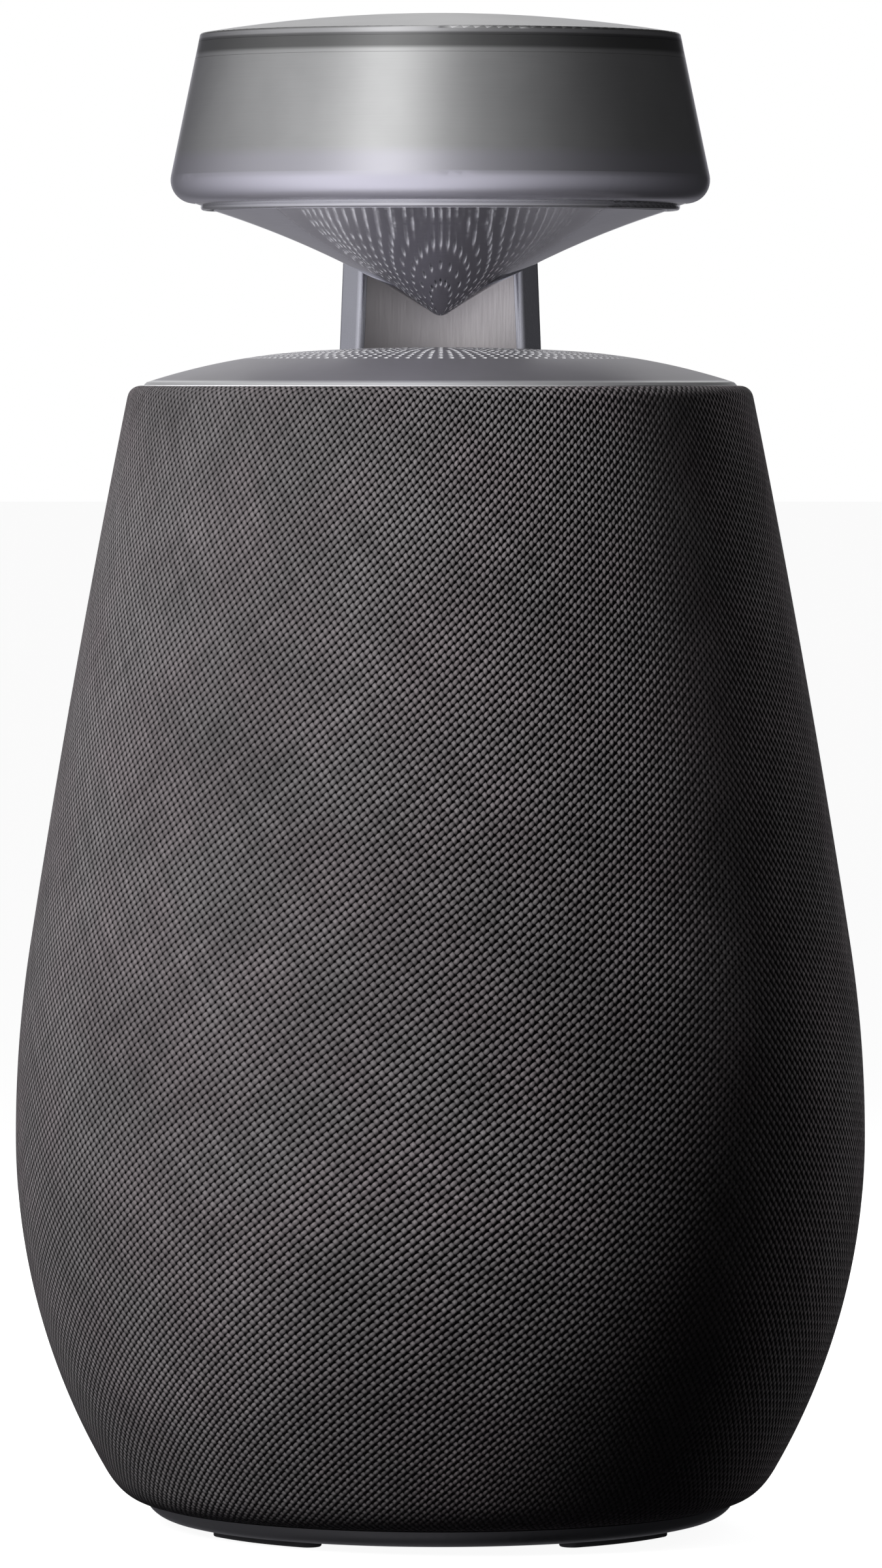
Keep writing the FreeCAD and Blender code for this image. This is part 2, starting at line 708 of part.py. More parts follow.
def woofer_dust_cap():
    edge, rise, thick = 14.6, 3.4, 0.5
    top = CONE_LOW_Z + 1.75 + rise
    return turned(
        (0, top),
        dome(top, edge, rise),
        (edge - 0.9, top - rise),
        dome_back(top - thick, edge - 0.9, rise - thick),
    )


def woofer_surround():
    """The rubber half-roll between the cone's edge and the basket's flange."""
    seat = LID_TOP_Z + 1.4
    outer, inner = 37.4, WOOFER_CONE_RADIUS + 0.4
    middle = (outer + inner) / 2
    rise = seat - CONE_TOP_Z
    return turned(
        (WOOFER_CONE_RADIUS - 2.0, CONE_TOP_Z + 0.1),
        (inner, CONE_TOP_Z + 0.1),
        ((middle, CONE_TOP_Z + rise / 2 + 2.7), (outer, seat)),
        (38.2, seat),
        (38.2, seat + 0.6),
        (outer - 0.3, seat + 0.6),
        ((middle, CONE_TOP_Z + rise / 2 + 3.4), (inner - 0.3, CONE_TOP_Z + 0.7)),
        (WOOFER_CONE_RADIUS - 2.0, CONE_TOP_Z + 0.7),
    )


def woofer_screws():
    one = screw(1.9, 1.3, 0.9, 10.0, at(WOOFER_SCREW_RADIUS, 0, LID_TOP_Z + 1.4), V(0, 0, -1))
    return Part.Compound(ring_of(one, WOOFER_SCREW_ANGLES))


def woofer_deflector():
    """The inverted cone that spreads the woofer's sound, hung on four posts that stand on the lid."""
    low, thick = DEFLECTOR_Z, 2.2
    cone = turned(
        (0, DEFLECTOR_TIP_Z),
        dome(DEFLECTOR_TIP_Z, 2.8, -1.5),
        ((17.5, 150.0), (40.0, low)),
        (DEFLECTOR_RADIUS, low),
        (DEFLECTOR_RADIUS, low + thick),
        (39.0, low + thick),
        ((16.9, 152.3), (1.5, DEFLECTOR_TIP_Z + 3.2)),
        (0, DEFLECTOR_TIP_Z + 2.8),
    )
    post = bar(2.6, at(POST_RADIUS_AT, 0, LID_TOP_Z), UP, low + 0.5 - LID_TOP_Z)
    rib = block(4.4, 1.8, 9.0, V(POST_RADIUS_AT - 3.8, 0, low - 3.9))
    return cone.fuse([*ring_of(post, POST_ANGLES), *ring_of(rib, POST_ANGLES)]).removeSplitter()


POST_ANGLES = (22.5, 112.5, 202.5, 292.5)


# ---- tweeter and top ---------------------------------------------------------------------------------------------

TWEETER_CUP = 16.8
TWEETER_LOW_Z = 168.0
TWEETER_DOME = 12.9


def plate_top(r):
    """The height of the top plate's upper face at radius r."""
    if r <= PLATE_INNER_RADIUS:
        return PLATE_APEX_Z - PLATE_INNER_CURVE + math.sqrt(PLATE_INNER_CURVE**2 - r**2)
    lean = math.asin(PLATE_INNER_RADIUS / PLATE_INNER_CURVE)
    centre_r = PLATE_INNER_RADIUS - PLATE_OUTER_CURVE * math.sin(lean)
    centre_z = plate_top(PLATE_INNER_RADIUS) - PLATE_OUTER_CURVE * math.cos(lean)
    return centre_z + math.sqrt(PLATE_OUTER_CURVE**2 - (r - centre_r) ** 2)


def plate_hole_places():
    """The perforation's places: rings about the middle, left out where the neck passes through."""
    places = []
    for outer, rings, count in HOLE_RINGS:
        for ring in range(rings):
            radius = outer - HOLE_RING_PITCH * ring
            for n in range(count):
                angle = 360 / count * n + 90
                off_back = abs((angle - 90 + 180) % 360 - 180)
                beside_neck = NECK_INNER - 1.5 < radius < NECK_OUTER + 1.5 and off_back < NECK_HALF_ANGLE + 4
                if not beside_neck:
                    places.append((radius, angle))
    return places


def top_plate():
    rim = PLATE_RADIUS
    under = PLATE_THICKNESS
    joint = PLATE_INNER_RADIUS
    middle = (joint + rim) / 2
    dome = turned(
        (0, PLATE_APEX_Z),
        ((joint / 2, plate_top(joint / 2)), (joint, plate_top(joint))),
        ((middle, plate_top(middle)), (rim - 0.45, plate_top(rim - 0.45))),
        (rim, plate_top(rim) - 0.3),
        (rim, SLEEVE_TOP_Z - 0.6),
        (rim - 0.9, SLEEVE_TOP_Z - 0.6),
        ((middle, plate_top(middle) - under), (joint, plate_top(joint) - under)),
        ((joint / 2, plate_top(joint / 2) - under), (0, PLATE_APEX_Z - under)),
    )
    dome = dome.cut(neck_block(0.12, NECK_INNER, NECK_OUTER))
    holes = [bar(HOLE_RADIUS, at(r, angle, SLEEVE_TOP_Z + 1), UP, 10) for r, angle in plate_hole_places()]
    return dome.cut(Part.Compound(holes))


def top_frame():
    """The plate under the dome that carries the tweeter, and that the neck is screwed to."""
    disc = turned(
        (TWEETER_CUP + 0.2, FRAME_Z),
        (TOP_FRAME_RADIUS, FRAME_Z),
        (TOP_FRAME_RADIUS, FRAME_TOP_Z),
        (TWEETER_CUP + 0.2, FRAME_TOP_Z),
    )
    web = turned(
        (TWEETER_CUP + 0.2, FRAME_Z - 4.5),
        (TWEETER_CUP + 2.0, FRAME_Z - 4.5),
        (TWEETER_CUP + 2.0, FRAME_Z + 0.2),
        (TWEETER_CUP + 0.2, FRAME_Z + 0.2),
    )
    leg = block(4.0, 8.0, FRAME_Z - DEFLECTOR_Z - 2.2, V(37.2, 0, (FRAME_Z + DEFLECTOR_Z + 2.2) / 2))
    frame = disc.fuse([web, *ring_of(leg, (0, 180, 270))])
    ribbon_slot = block(10, 2.4, 20, V(0, RIBBON_Y, FRAME_Z))
    screw_hole = bar(1.1, at(NECK_SCREW_AT, 90, FRAME_Z - 5), UP, 10)
    holes = ring_of(screw_hole, (-NECK_SCREW_ANGLE, NECK_SCREW_ANGLE))
    return frame.cut([ribbon_slot, *holes]).removeSplitter()


def tweeter_cup():
    wall, floor = 1.6, 2.0
    return turned(
        (0, TWEETER_LOW_Z),
        (TWEETER_CUP - 0.8, TWEETER_LOW_Z),
        (TWEETER_CUP, TWEETER_LOW_Z + 0.8),
        (TWEETER_CUP, FRAME_TOP_Z),
        (TWEETER_CUP - wall, FRAME_TOP_Z),
        (TWEETER_CUP - wall, TWEETER_LOW_Z + floor),
        (0, TWEETER_LOW_Z + floor),
    )


def tweeter_magnet():
    low = TWEETER_LOW_Z + 2.0
    return bar(11.4, V(0, 0, low), UP, 178.0 - low)


def tweeter_pole():
    return turned((0, 178.0), (12.3, 178.0), (12.3, 181.0), (11.5, 181.3), (0, 181.3))


def tweeter_face():
    """The face ring, with a shallow horn around the dome."""
    return turned(
        (TWEETER_DOME + 0.35, FRAME_TOP_Z + 0.1),
        (21.0, FRAME_TOP_Z + 0.1),
        (21.0, FRAME_TOP_Z + 1.6),
        (20.2, FRAME_TOP_Z + 2.0),
        ((17.0, FRAME_TOP_Z + 1.3), (TWEETER_DOME + 0.35, FRAME_TOP_Z + 0.9)),
    )


def tweeter_dome():
    """The dome with its voice coil, one moving piece."""
    edge, top, rise, thick = TWEETER_DOME, 185.6, 2.7, 0.4
    return turned(
        (0, top),
        dome(top, edge, rise),
        (edge, 178.8),
        (edge - thick, 178.8),
        (edge - thick, top - rise - thick),
        dome_back(top - thick, edge - thick, rise),
    )


# ---- neck --------------------------------------------------------------------------------------------------------

NECK_SCREW_AT = 24.9
RIBBON_Y = 24.9


def neck_block(grow, inner, outer, low=NECK_LOW_Z - 3, high=NECK_TOP_Z + 3):
    """The neck's curved block between two radii, narrowing upwards. grow widens it all round."""
    arc = turned((inner - grow, low), (outer + grow, low), (outer + grow, high), (inner - grow, high))
    lean = math.radians(NECK_HALF_ANGLE)
    apex = NECK_NARROWING * (low - NECK_LOW_Z) - grow / math.sin(lean)
    reach = 60.0
    side_x, side_y = reach * math.sin(lean), apex + reach * math.cos(lean)
    wedge = Part.Face(
        Part.makePolygon([V(0, apex, low), V(side_x, side_y, low), V(-side_x, side_y, low), V(0, apex, low)])
    ).extrude(V(0, NECK_NARROWING * (high - low), high - low))
    return arc.common(wedge)


def neck_column():
    """A hollow column of curved section, with solid ends for its screws and a seat in front for the liner."""
    column = neck_block(0, NECK_INNER, NECK_OUTER, low=NECK_LOW_Z, high=NECK_TOP_Z)
    along = [e for e in column.Edges if e.BoundBox.ZLength > 20]
    column = column.makeFillet(0.9, along)
    seat = neck_block(-NECK_BORDER, NECK_INNER - NECK_BORDER - 1, NECK_INNER + NECK_BORDER + NECK_LINER)
    channel = neck_block(-5.8, 23.8 - 5.8, 26.1 + 5.8)
    holes = []
    for turn in (-NECK_SCREW_ANGLE, NECK_SCREW_ANGLE):
        holes.append(bar(0.95, at(NECK_SCREW_AT, 90 + turn, NECK_LOW_Z - 1), UP, 9))
        holes.append(bar(0.95, at(NECK_SCREW_AT, 90 + turn, NECK_TOP_Z + 1), V(0, 0, -1), 9))
    return column.cut([seat, channel, *holes])


def neck_liner():
    """The thin brushed plate in the hollow of the neck, between the dome and the cone."""
    gap = NECK_BORDER + 0.05
    return neck_block(-gap, NECK_INNER + 0.02 - gap, NECK_INNER + NECK_LINER - 0.03 + gap, 185.9, 205.6)


def neck_ribbon():
    """The flat cable to the crown's light board."""
    top = LED_BOARD_Z - 0.1
    return block(8.0, 0.35, top - 172.0, V(0, RIBBON_Y, (top + 172.0) / 2))


def neck_screws():
    found = []
    for turn in (-NECK_SCREW_ANGLE, NECK_SCREW_ANGLE):
        found.append(screw(1.9, 1.3, 0.9, 8.0, at(NECK_SCREW_AT, 90 + turn, FRAME_Z), UP))
        found.append(screw(1.9, 1.3, 0.9, 9.0, at(NECK_SCREW_AT, 90 + turn, CROWN_FRAME_TOP_Z), V(0, 0, -1)))
    return Part.Compound(found)


# ---- crown -------------------------------------------------------------------------------------------------------

CONE_BOSS_RADIUS = 27.0
CONE_BOSS_ANGLES = (270, 10, 170)
LED_BOARD_Z = 217.2
LED_COUNT = 18


def drum(z):
    """The drum's outer radius at height z, above its rounded lower edge."""
    return CROWN_EDGE_RADIUS + (CROWN_EDGE_Z - z) * CROWN_SLOPE


def crown_cap():
    """The shallow domed top, with a short outer lip and a skirt that snaps inside the crown."""
    top, edge_z, edge = CROWN_TOP_Z, CROWN_EDGE_Z, CROWN_EDGE_RADIUS
    thick, inner = 1.5, 30.8
    return turned(
        (0, top),
        dome(top, edge - 0.4, top - edge_z - 0.1),
        ((edge - 0.08, edge_z - 0.05), (drum(edge_z - 0.4), edge_z - 0.4)),
        (drum(CAP_LOW_Z), CAP_LOW_Z),
        (drum(CAP_LOW_Z) - 1.6, CAP_LOW_Z),
        (32.6, CAP_LOW_Z - 0.1),
        (32.6, 231.5),
        (inner, 231.5),
        (inner, edge_z - 0.7),
        dome_back(top - thick, inner, top - thick - edge_z + 0.7),
    )


def crown_light_ring():
    """The smoked band that the mood light shows through."""
    high, low = CAP_LOW_Z - 0.03, LIGHT_RING_LOW_Z + 0.03
    return turned(
        (36.4, low),
        (drum(low), low),
        (drum(high), high),
        (36.4, high),
    )


def crown_shell():
    """The drum with its rounded lower edge, and a flange inside it."""
    lean = math.atan(CROWN_SLOPE)
    mid_lean = (lean - math.pi / 2) / 2
    centre = (DRUM_FILLET_RADIUS_AT, DRUM_LOW_Z + DRUM_FILLET)

    def on_fillet(angle):
        return (centre[0] + DRUM_FILLET * math.cos(angle), centre[1] + DRUM_FILLET * math.sin(angle))

    joint = on_fillet(lean)
    return turned(
        (36.8, 211.9),
        (DRUM_FILLET_RADIUS_AT, 211.9),
        (DRUM_FILLET_RADIUS_AT, DRUM_LOW_Z),
        (on_fillet(mid_lean), joint),
        (drum(LIGHT_RING_LOW_Z), LIGHT_RING_LOW_Z),
        (drum(LIGHT_RING_LOW_Z) - 1.9, LIGHT_RING_LOW_Z),
        (joint[0] - 1.9, joint[1]),
        ((40.55, 214.0), (40.1, 213.3)),
        (36.8, 213.3),
    )


def flank(z_shift):
    """The reflector's hollow flank as an arc step from near its tip to its rim."""
    return ((20.2, 204.0 + z_shift), (CONE_RIM_RADIUS, CONE_RIM_Z + z_shift))


def reflector_cone():
    """The polished cone that spreads the tweeter's sound, with bosses for the crown's screws."""
    cone = turned(
        (0, CONE_TIP_Z),
        dome(CONE_TIP_Z, 1.4, -0.5),
        flank(0),
        (CONE_RIM_RADIUS, DRUM_LOW_Z + 0.5),
        (CONE_RIM_RADIUS - 1.5, DRUM_LOW_Z + 0.5),
        (CONE_RIM_RADIUS - 1.5, CONE_RIM_Z + 0.9),
        ((19.9, 205.5), (0.6, CONE_TIP_Z + 1.8)),
        (0, CONE_TIP_Z + 1.6),
    )
    above = turned((0, 196.0), (30.6, 209.0), (30.6, CROWN_FRAME_Z - 0.05), (0, CROWN_FRAME_Z - 0.05))
    bosses = [bar(2.6, at(CONE_BOSS_RADIUS, a, 206.0), UP, 12).common(above) for a in CONE_BOSS_ANGLES]
    cone = cone.fuse(bosses)
    pilots = [bar(0.9, at(CONE_BOSS_RADIUS, a, CROWN_FRAME_Z), V(0, 0, -1), 4.5) for a in CONE_BOSS_ANGLES]
    return cone.cut([neck_block(0.1, NECK_INNER, NECK_OUTER), *pilots]).removeSplitter()


def cone_trim_ring():
    """The polished ring with a raised bead between the drum and the cone."""
    inner, outer = CONE_RIM_RADIUS + 0.1, DRUM_FILLET_RADIUS_AT - 0.1
    low = CONE_RIM_Z + 0.35
    high = DRUM_LOW_Z + 0.5
    return turned(
        (inner, low),
        (inner + 0.9, low + 0.25),
        ((inner + 1.35, low - 0.3), (inner + 1.9, low + 0.5)),
        (outer, low + 0.85),
        (outer, high),
        (inner, high),
    )


def crown_frame():
    """The plate inside the crown that ties the drum, the cone and the neck together."""
    disc = turned(
        (13.0, CROWN_FRAME_Z),
        (39.7, CROWN_FRAME_Z),
        (39.7, CROWN_FRAME_TOP_Z),
        (34.0, CROWN_FRAME_TOP_Z),
        (34.0, LED_BOARD_Z - 0.1),
        (32.0, LED_BOARD_Z - 0.1),
        (32.0, CROWN_FRAME_TOP_Z),
        (13.0, CROWN_FRAME_TOP_Z),
    )
    holes = [bar(1.1, at(CONE_BOSS_RADIUS, a, CROWN_FRAME_Z - 1), UP, 5) for a in CONE_BOSS_ANGLES]
    for turn in (-NECK_SCREW_ANGLE, NECK_SCREW_ANGLE):
        holes.append(bar(1.1, at(NECK_SCREW_AT, 90 + turn, CROWN_FRAME_Z - 1), UP, 5))
    holes.append(block(10, 2.4, 20, V(0, RIBBON_Y, CROWN_FRAME_Z)))
    return disc.cut(holes)


def crown_screws():
    found = [
        screw(1.9, 1.3, 0.85, 6.0, at(CONE_BOSS_RADIUS, a, CROWN_FRAME_TOP_Z), V(0, 0, -1)) for a in CONE_BOSS_ANGLES
    ]
    return Part.Compound(found)


def led_board():
    """The ring-shaped light board with its lamps."""
    board = turned((22.0, LED_BOARD_Z), (35.6, LED_BOARD_Z), (35.6, LED_BOARD_Z + 1.2), (22.0, LED_BOARD_Z + 1.2))
    lamp = block(2.8, 3.5, 1.0, V(34.0, 0, LED_BOARD_Z + 1.2 + 0.5))
    step = 360 / LED_COUNT
    return Part.Compound([board, *ring_of(lamp, [step * n for n in range(LED_COUNT)])])


def light_guide():
    """The frosted ring that carries the light up to the smoked band."""
    return turned(
        (33.0, LED_BOARD_Z + 2.4),
        (35.4, LED_BOARD_Z + 2.4),
        (36.2, LIGHT_RING_LOW_Z),
        (36.2, CAP_LOW_Z - 0.3),
        (34.0, CAP_LOW_Z - 0.3),
        (33.4, LIGHT_RING_LOW_Z),
    )


# ---- control strip -----------------------------------------------------------------------------------------------


def strip_shell(depth_out, depth_in):
    """The body's wall between two depths, over the control strip's height."""
    low, high = STRIP_LOW_Z - 6, STRIP_HIGH_Z + 6
    return body_solid(depth_out, low, high).cut(body_solid(depth_in, low - 1, high + 1))


def hinge_axis():
    """A point on the port cover's hinge, at x = 0."""
    return V(0, skin(PORT_COVER_LOW_Z) - 0.55, PORT_COVER_LOW_Z)


def control_bezel():
    """The strip's moulding: a curved face flush with the sleeve, and a flange behind the cage."""
    face = slab(STRIP_WIDTH, STRIP_LOW_Z, STRIP_HIGH_Z, STRIP_CORNER, 50, 80)
    flange = slab(STRIP_WIDTH + 4.4, STRIP_LOW_Z - 1.6 + 2.4, STRIP_HIGH_Z + 1.2, STRIP_CORNER, 50, 80)
    bezel = strip_shell(-STRIP_PROUD, 2.9).common(face)
    bezel = bezel.fuse(strip_shell(2.9, 3.9).common(flange))
    cuts = []
    for z in KEY_HEIGHTS.values():
        cuts.append(bar(KEY_RADIUS + 0.25, V(0, 50, z), BACK, 30))
        cuts.append(bar(KEY_RADIUS + 1.1, V(0, 50, z), BACK, skin(z) - 2.2 - 50))
    rebate = slab(PORT_COVER_WIDTH + 0.5, PORT_COVER_LOW_Z - 1.3, PORT_COVER_HIGH_Z + 0.25, 1.6, 50, 80)
    cuts.append(rebate.cut(body_solid(PORT_COVER_DEPTH, 40, 70)))
    groove = bar(HINGE_BEAD + 0.25, hinge_axis() - V(PORT_COVER_WIDTH / 2 + 0.2, 0, 0), RIGHT, PORT_COVER_WIDTH + 0.4)
    cuts.append(groove)
    cuts.append(slab(PORT_WIDTH, PORT_Z - PORT_HEIGHT / 2, PORT_Z + PORT_HEIGHT / 2, 2.6, 50, 80))
    return bezel.cut(cuts).removeSplitter()


def port_cover():
    """The rubber cover over the charging socket. Its lower edge is a round bead that it swings on."""
    low = PORT_COVER_LOW_Z + 0.3
    lid = slab(PORT_COVER_WIDTH, low, PORT_COVER_HIGH_Z, 1.4, 50, 80)
    lid = lid.common(strip_shell(-STRIP_PROUD, PORT_COVER_DEPTH - 0.1))
    bead = bar(HINGE_BEAD, hinge_axis() - V(PORT_COVER_WIDTH / 2 - 0.2, 0, 0), RIGHT, PORT_COVER_WIDTH - 0.4)
    pull = block(5.0, 1.2, 1.0, V(0, skin(PORT_COVER_HIGH_Z) + 0.5, PORT_COVER_HIGH_Z - 0.9))
    pull = pull.makeFillet(0.3, [e for e in pull.Edges if e.CenterOfMass.y > skin(PORT_COVER_HIGH_Z) + 0.9])
    return lid.fuse([bead, pull]).removeSplitter()


def key(z):
    """A key: a round cap with the body's curve on its face, a flange that holds it in, and a plunger."""
    cap = bar(KEY_RADIUS, V(0, skin(z) - 2.6, z), BACK, 10).common(body_solid(-KEY_PROUD, z - 8, z + 8))
    face_edges = [e for e in cap.Edges if e.BoundBox.YMin > skin(z) - 1.0]
    cap = cap.makeFillet(0.35, face_edges)
    flange_back = skin(z) - 3.1
    flange = bar(KEY_RADIUS + 0.8, V(0, flange_back, z), BACK, 0.75)
    tip = BOARD_Y + BOARD_THICKNESS + SWITCH_HEIGHT + KEY_TRAVEL_GAP
    plunger = bar(1.4, V(0, tip, z), BACK, flange_back + 0.2 - tip)
    return cap.fuse([flange, plunger]).removeSplitter()


def control_board():
    """The board behind the keys, with one switch for each key."""
    board = Part.makeBox(22, BOARD_THICKNESS, 65.5, V(-11, BOARD_Y, STRIP_LOW_Z + 1.0))
    front = BOARD_Y + BOARD_THICKNESS
    parts = [board]
    for z in KEY_HEIGHTS.values():
        switch = block(4.6, 1.0, 4.6, V(0, front + 0.5, z))
        parts.append(switch.fuse(bar(1.0, V(0, front + 0.9, z), BACK, SWITCH_HEIGHT - 0.9)).removeSplitter())
    return Part.Compound(parts)


def usb_socket():
    """The charging socket: an oval metal shell with its contact tongue."""
    face = skin(PORT_Z) - USB_FACE_DEPTH
    back = BOARD_Y + BOARD_THICKNESS
    half = 1.63
    shell = slab(8.94, PORT_Z - half, PORT_Z + half, 1.6, back, face)
    mouth = slab(8.34, PORT_Z - half + 0.3, PORT_Z + half - 0.3, 1.3, back + 0.8, face + 1)
    tongue = Part.makeBox(6.7, face - back - 1.5, 0.7, V(-3.35, back + 0.5, PORT_Z - 0.35))
    return shell.cut(mouth).fuse(tongue).removeSplitter()


# ---- all of it ---------------------------------------------------------------------------------------------------


def pieces():
    """Every sub-part's name and the function that makes it."""
    made = {
        "feet": feet,
        "base_cover": base_cover,
        "base_screws": base_screws,
        "base_tray": base_tray,
        "battery_cells": battery_cells,
        "battery_holder": battery_holder,
        "main_board": main_board,
        "board_components": board_components,
        "board_screws": board_screws,
        "fabric_sleeve": fabric_sleeve,
        "grille_cage": grille_cage,
        "cabinet_tub": cabinet_tub,
        "cabinet_gasket": cabinet_gasket,
        "cabinet_lid": cabinet_lid,
        "cabinet_screws": cabinet_screws,
        "radiator_frames": radiator_frames,
        "radiator_surround_right": radiator_surround,
        "radiator_surround_left": lambda: mirrored(radiator_surround()),
        "radiator_plate_right": radiator_plate,
        "radiator_plate_left": lambda: mirrored(radiator_plate()),
        "woofer_yoke": woofer_yoke,
        "woofer_magnet": woofer_magnet,
        "woofer_pole_ring": woofer_pole_ring,
        "woofer_basket": woofer_basket,
        "woofer_spider": woofer_spider,
        "woofer_voice_coil": voice_coil,
        "woofer_cone": woofer_cone,
        "woofer_dust_cap": woofer_dust_cap,
        "woofer_surround": woofer_surround,
        "woofer_screws": woofer_screws,
        "woofer_deflector": woofer_deflector,
        "top_plate": top_plate,
        "top_frame": top_frame,
        "tweeter_cup": tweeter_cup,
        "tweeter_magnet": tweeter_magnet,
        "tweeter_pole": tweeter_pole,
        "tweeter_face": tweeter_face,
        "tweeter_dome": tweeter_dome,
        "neck_column": neck_column,
        "neck_liner": neck_liner,
        "neck_ribbon": neck_ribbon,
        "neck_screws": neck_screws,
        "crown_cap": crown_cap,
        "crown_light_ring": crown_light_ring,
        "crown_shell": crown_shell,
        "reflector_cone": reflector_cone,
        "cone_trim_ring": cone_trim_ring,
        "crown_frame": crown_frame,
        "crown_screws": crown_screws,
        "led_board": led_board,
        "light_guide": light_guide,
        "control_bezel": control_bezel,
        "port_cover": port_cover,
        "control_board": control_board,
        "usb_socket": usb_socket,
    }
    for name, z in KEY_HEIGHTS.items():
        made[name] = lambda z=z: key(z)
    return made


def main():
    os.makedirs("parts", exist_ok=True)
    for name, make in pieces().items():
        make().exportStep(f"parts/{name}.step")


main()
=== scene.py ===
"""The smart home hub's visual model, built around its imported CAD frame. Metres, +Z up, -Y in front."""

import json
import math

import bmesh
import bpy
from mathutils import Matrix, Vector


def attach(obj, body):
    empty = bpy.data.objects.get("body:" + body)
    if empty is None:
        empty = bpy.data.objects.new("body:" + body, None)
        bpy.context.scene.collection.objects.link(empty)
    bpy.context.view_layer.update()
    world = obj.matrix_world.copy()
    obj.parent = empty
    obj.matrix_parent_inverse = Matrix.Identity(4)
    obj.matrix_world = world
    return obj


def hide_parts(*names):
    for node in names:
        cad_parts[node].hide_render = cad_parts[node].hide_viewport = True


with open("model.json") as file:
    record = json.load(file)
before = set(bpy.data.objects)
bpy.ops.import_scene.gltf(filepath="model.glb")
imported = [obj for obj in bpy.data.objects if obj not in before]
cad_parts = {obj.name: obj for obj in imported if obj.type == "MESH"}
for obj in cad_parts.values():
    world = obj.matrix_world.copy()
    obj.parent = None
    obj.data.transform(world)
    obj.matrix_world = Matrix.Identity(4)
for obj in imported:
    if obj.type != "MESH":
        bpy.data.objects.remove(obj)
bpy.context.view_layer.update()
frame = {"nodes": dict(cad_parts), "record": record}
nodes = frame["nodes"]
MM = 0.001

# ---- the body's outline, as the CAD has it (millimetres) -----------------------------------------

BELLY_RADIUS, BELLY_Z = 68.0, 62.2
LOW_CURVE, MID_CURVE, HIGH_CURVE = 106.5, 200.0, 2000.0
MID_TOP_Z = 93.0
MID_ANGLE = math.asin((MID_TOP_Z - BELLY_Z) / MID_CURVE)
CENTRES = (
    (BELLY_RADIUS - LOW_CURVE, BELLY_Z),
    (BELLY_RADIUS - MID_CURVE, BELLY_Z),
    (
        BELLY_RADIUS - MID_CURVE + (MID_CURVE - HIGH_CURVE) * math.cos(MID_ANGLE),
        MID_TOP_Z - HIGH_CURVE * math.sin(MID_ANGLE),
    ),
)


def skin(z):
    """The body's radius at height z."""
    part = 0 if z < BELLY_Z else 1 if z < MID_TOP_Z else 2
    centre, curve = CENTRES[part], (LOW_CURVE, MID_CURVE, HIGH_CURVE)[part]
    return centre[0] + math.sqrt(curve**2 - (z - centre[1]) ** 2)


# ---- material nodes ------------------------------------------------------------------------------


class Nodes:
    """Short calls that add nodes to a node tree."""

    def __init__(self, tree):
        self.tree = tree

    def feed(self, socket, value):
        if isinstance(value, bpy.types.NodeSocket):
            self.tree.links.new(value, socket)
        else:
            socket.default_value = value

    def node(self, kind, settings=None, out=0, **inputs):
        made = self.tree.nodes.new("ShaderNode" + kind)
        for key, value in (settings or {}).items():
            setattr(made, key, value)
        for key, value in inputs.items():
            self.feed(made.inputs[key.replace("_", " ")], value)
        return made.outputs[out]

    def math(self, operation, *values):
        made = self.tree.nodes.new("ShaderNodeMath")
        made.operation = operation
        for socket, value in zip(made.inputs, values):
            self.feed(socket, value)
        return made.outputs[0]

    def plus(self, first, second):
        return self.math("ADD", first, second)

    def minus(self, first, second):
        return self.math("SUBTRACT", first, second)

    def times(self, first, second):
        return self.math("MULTIPLY", first, second)

    def where(self):
        """The point on the surface, in metres in the row frame."""
        return self.node("TexCoord", out="Object")

    def split(self, vector):
        made = self.tree.nodes.new("ShaderNodeSeparateXYZ")
        self.feed(made.inputs[0], vector)
        return made.outputs[0], made.outputs[1], made.outputs[2]

    def join(self, x, y, z):
        made = self.tree.nodes.new("ShaderNodeCombineXYZ")
        for socket, value in zip(made.inputs, (x, y, z)):
            self.feed(socket, value)
        return made.outputs[0]

    def noise(self, vector, scale, detail=2.0, roughness=0.5):
        return self.node("TexNoise", Vector=vector, Scale=scale, Detail=detail, Roughness=roughness)

    def ramp(self, value, low, high, to_low=0.0, to_high=1.0, smooth=True):
        """value from low..high to to_low..to_high, held at the ends."""
        made = self.tree.nodes.new("ShaderNodeMapRange")
        made.interpolation_type = "SMOOTHSTEP" if smooth else "LINEAR"
        for socket, given in zip(made.inputs, (value, low, high, to_low, to_high)):
            self.feed(socket, given)
        return made.outputs[0]

    def mix(self, share, first, second, blend="MIX"):
        made = self.tree.nodes.new("ShaderNodeMix")
        made.data_type = "RGBA"
        made.blend_type = blend
        for socket, value in zip((made.inputs[0], made.inputs[6], made.inputs[7]), (share, first, second)):
            if isinstance(value, tuple) and len(value) == 3:
                value = (*value, 1)
            self.feed(socket, value)
        return made.outputs[2]

    def grey(self, value):
        return self.node("CombineColor", Red=value, Green=value, Blue=value)


class Look(Nodes):
    """A procedural material: a Principled shader and the nodes that feed it."""

    def __init__(self, name, color=(0.5, 0.5, 0.5), **values):
        self.material = bpy.data.materials.new(name)
        self.material.use_nodes = True
        super().__init__(self.material.node_tree)
        self.shader = self.tree.nodes["Principled BSDF"]
        self.shader.inputs["Base Color"].default_value = (*color, 1)
        for key, value in values.items():
            self.shader.inputs[key.replace("_", " ")].default_value = value
        self.material.diffuse_color = (*color, 1)

    def bump(self, height, depth, strength=1.0):
        made = self.node("Bump", Height=height, Distance=depth, Strength=strength)
        self.feed(self.shader.inputs["Normal"], made)

    def set(self, **inputs):
        for key, value in inputs.items():
            self.feed(self.shader.inputs[key.replace("_", " ")], value)


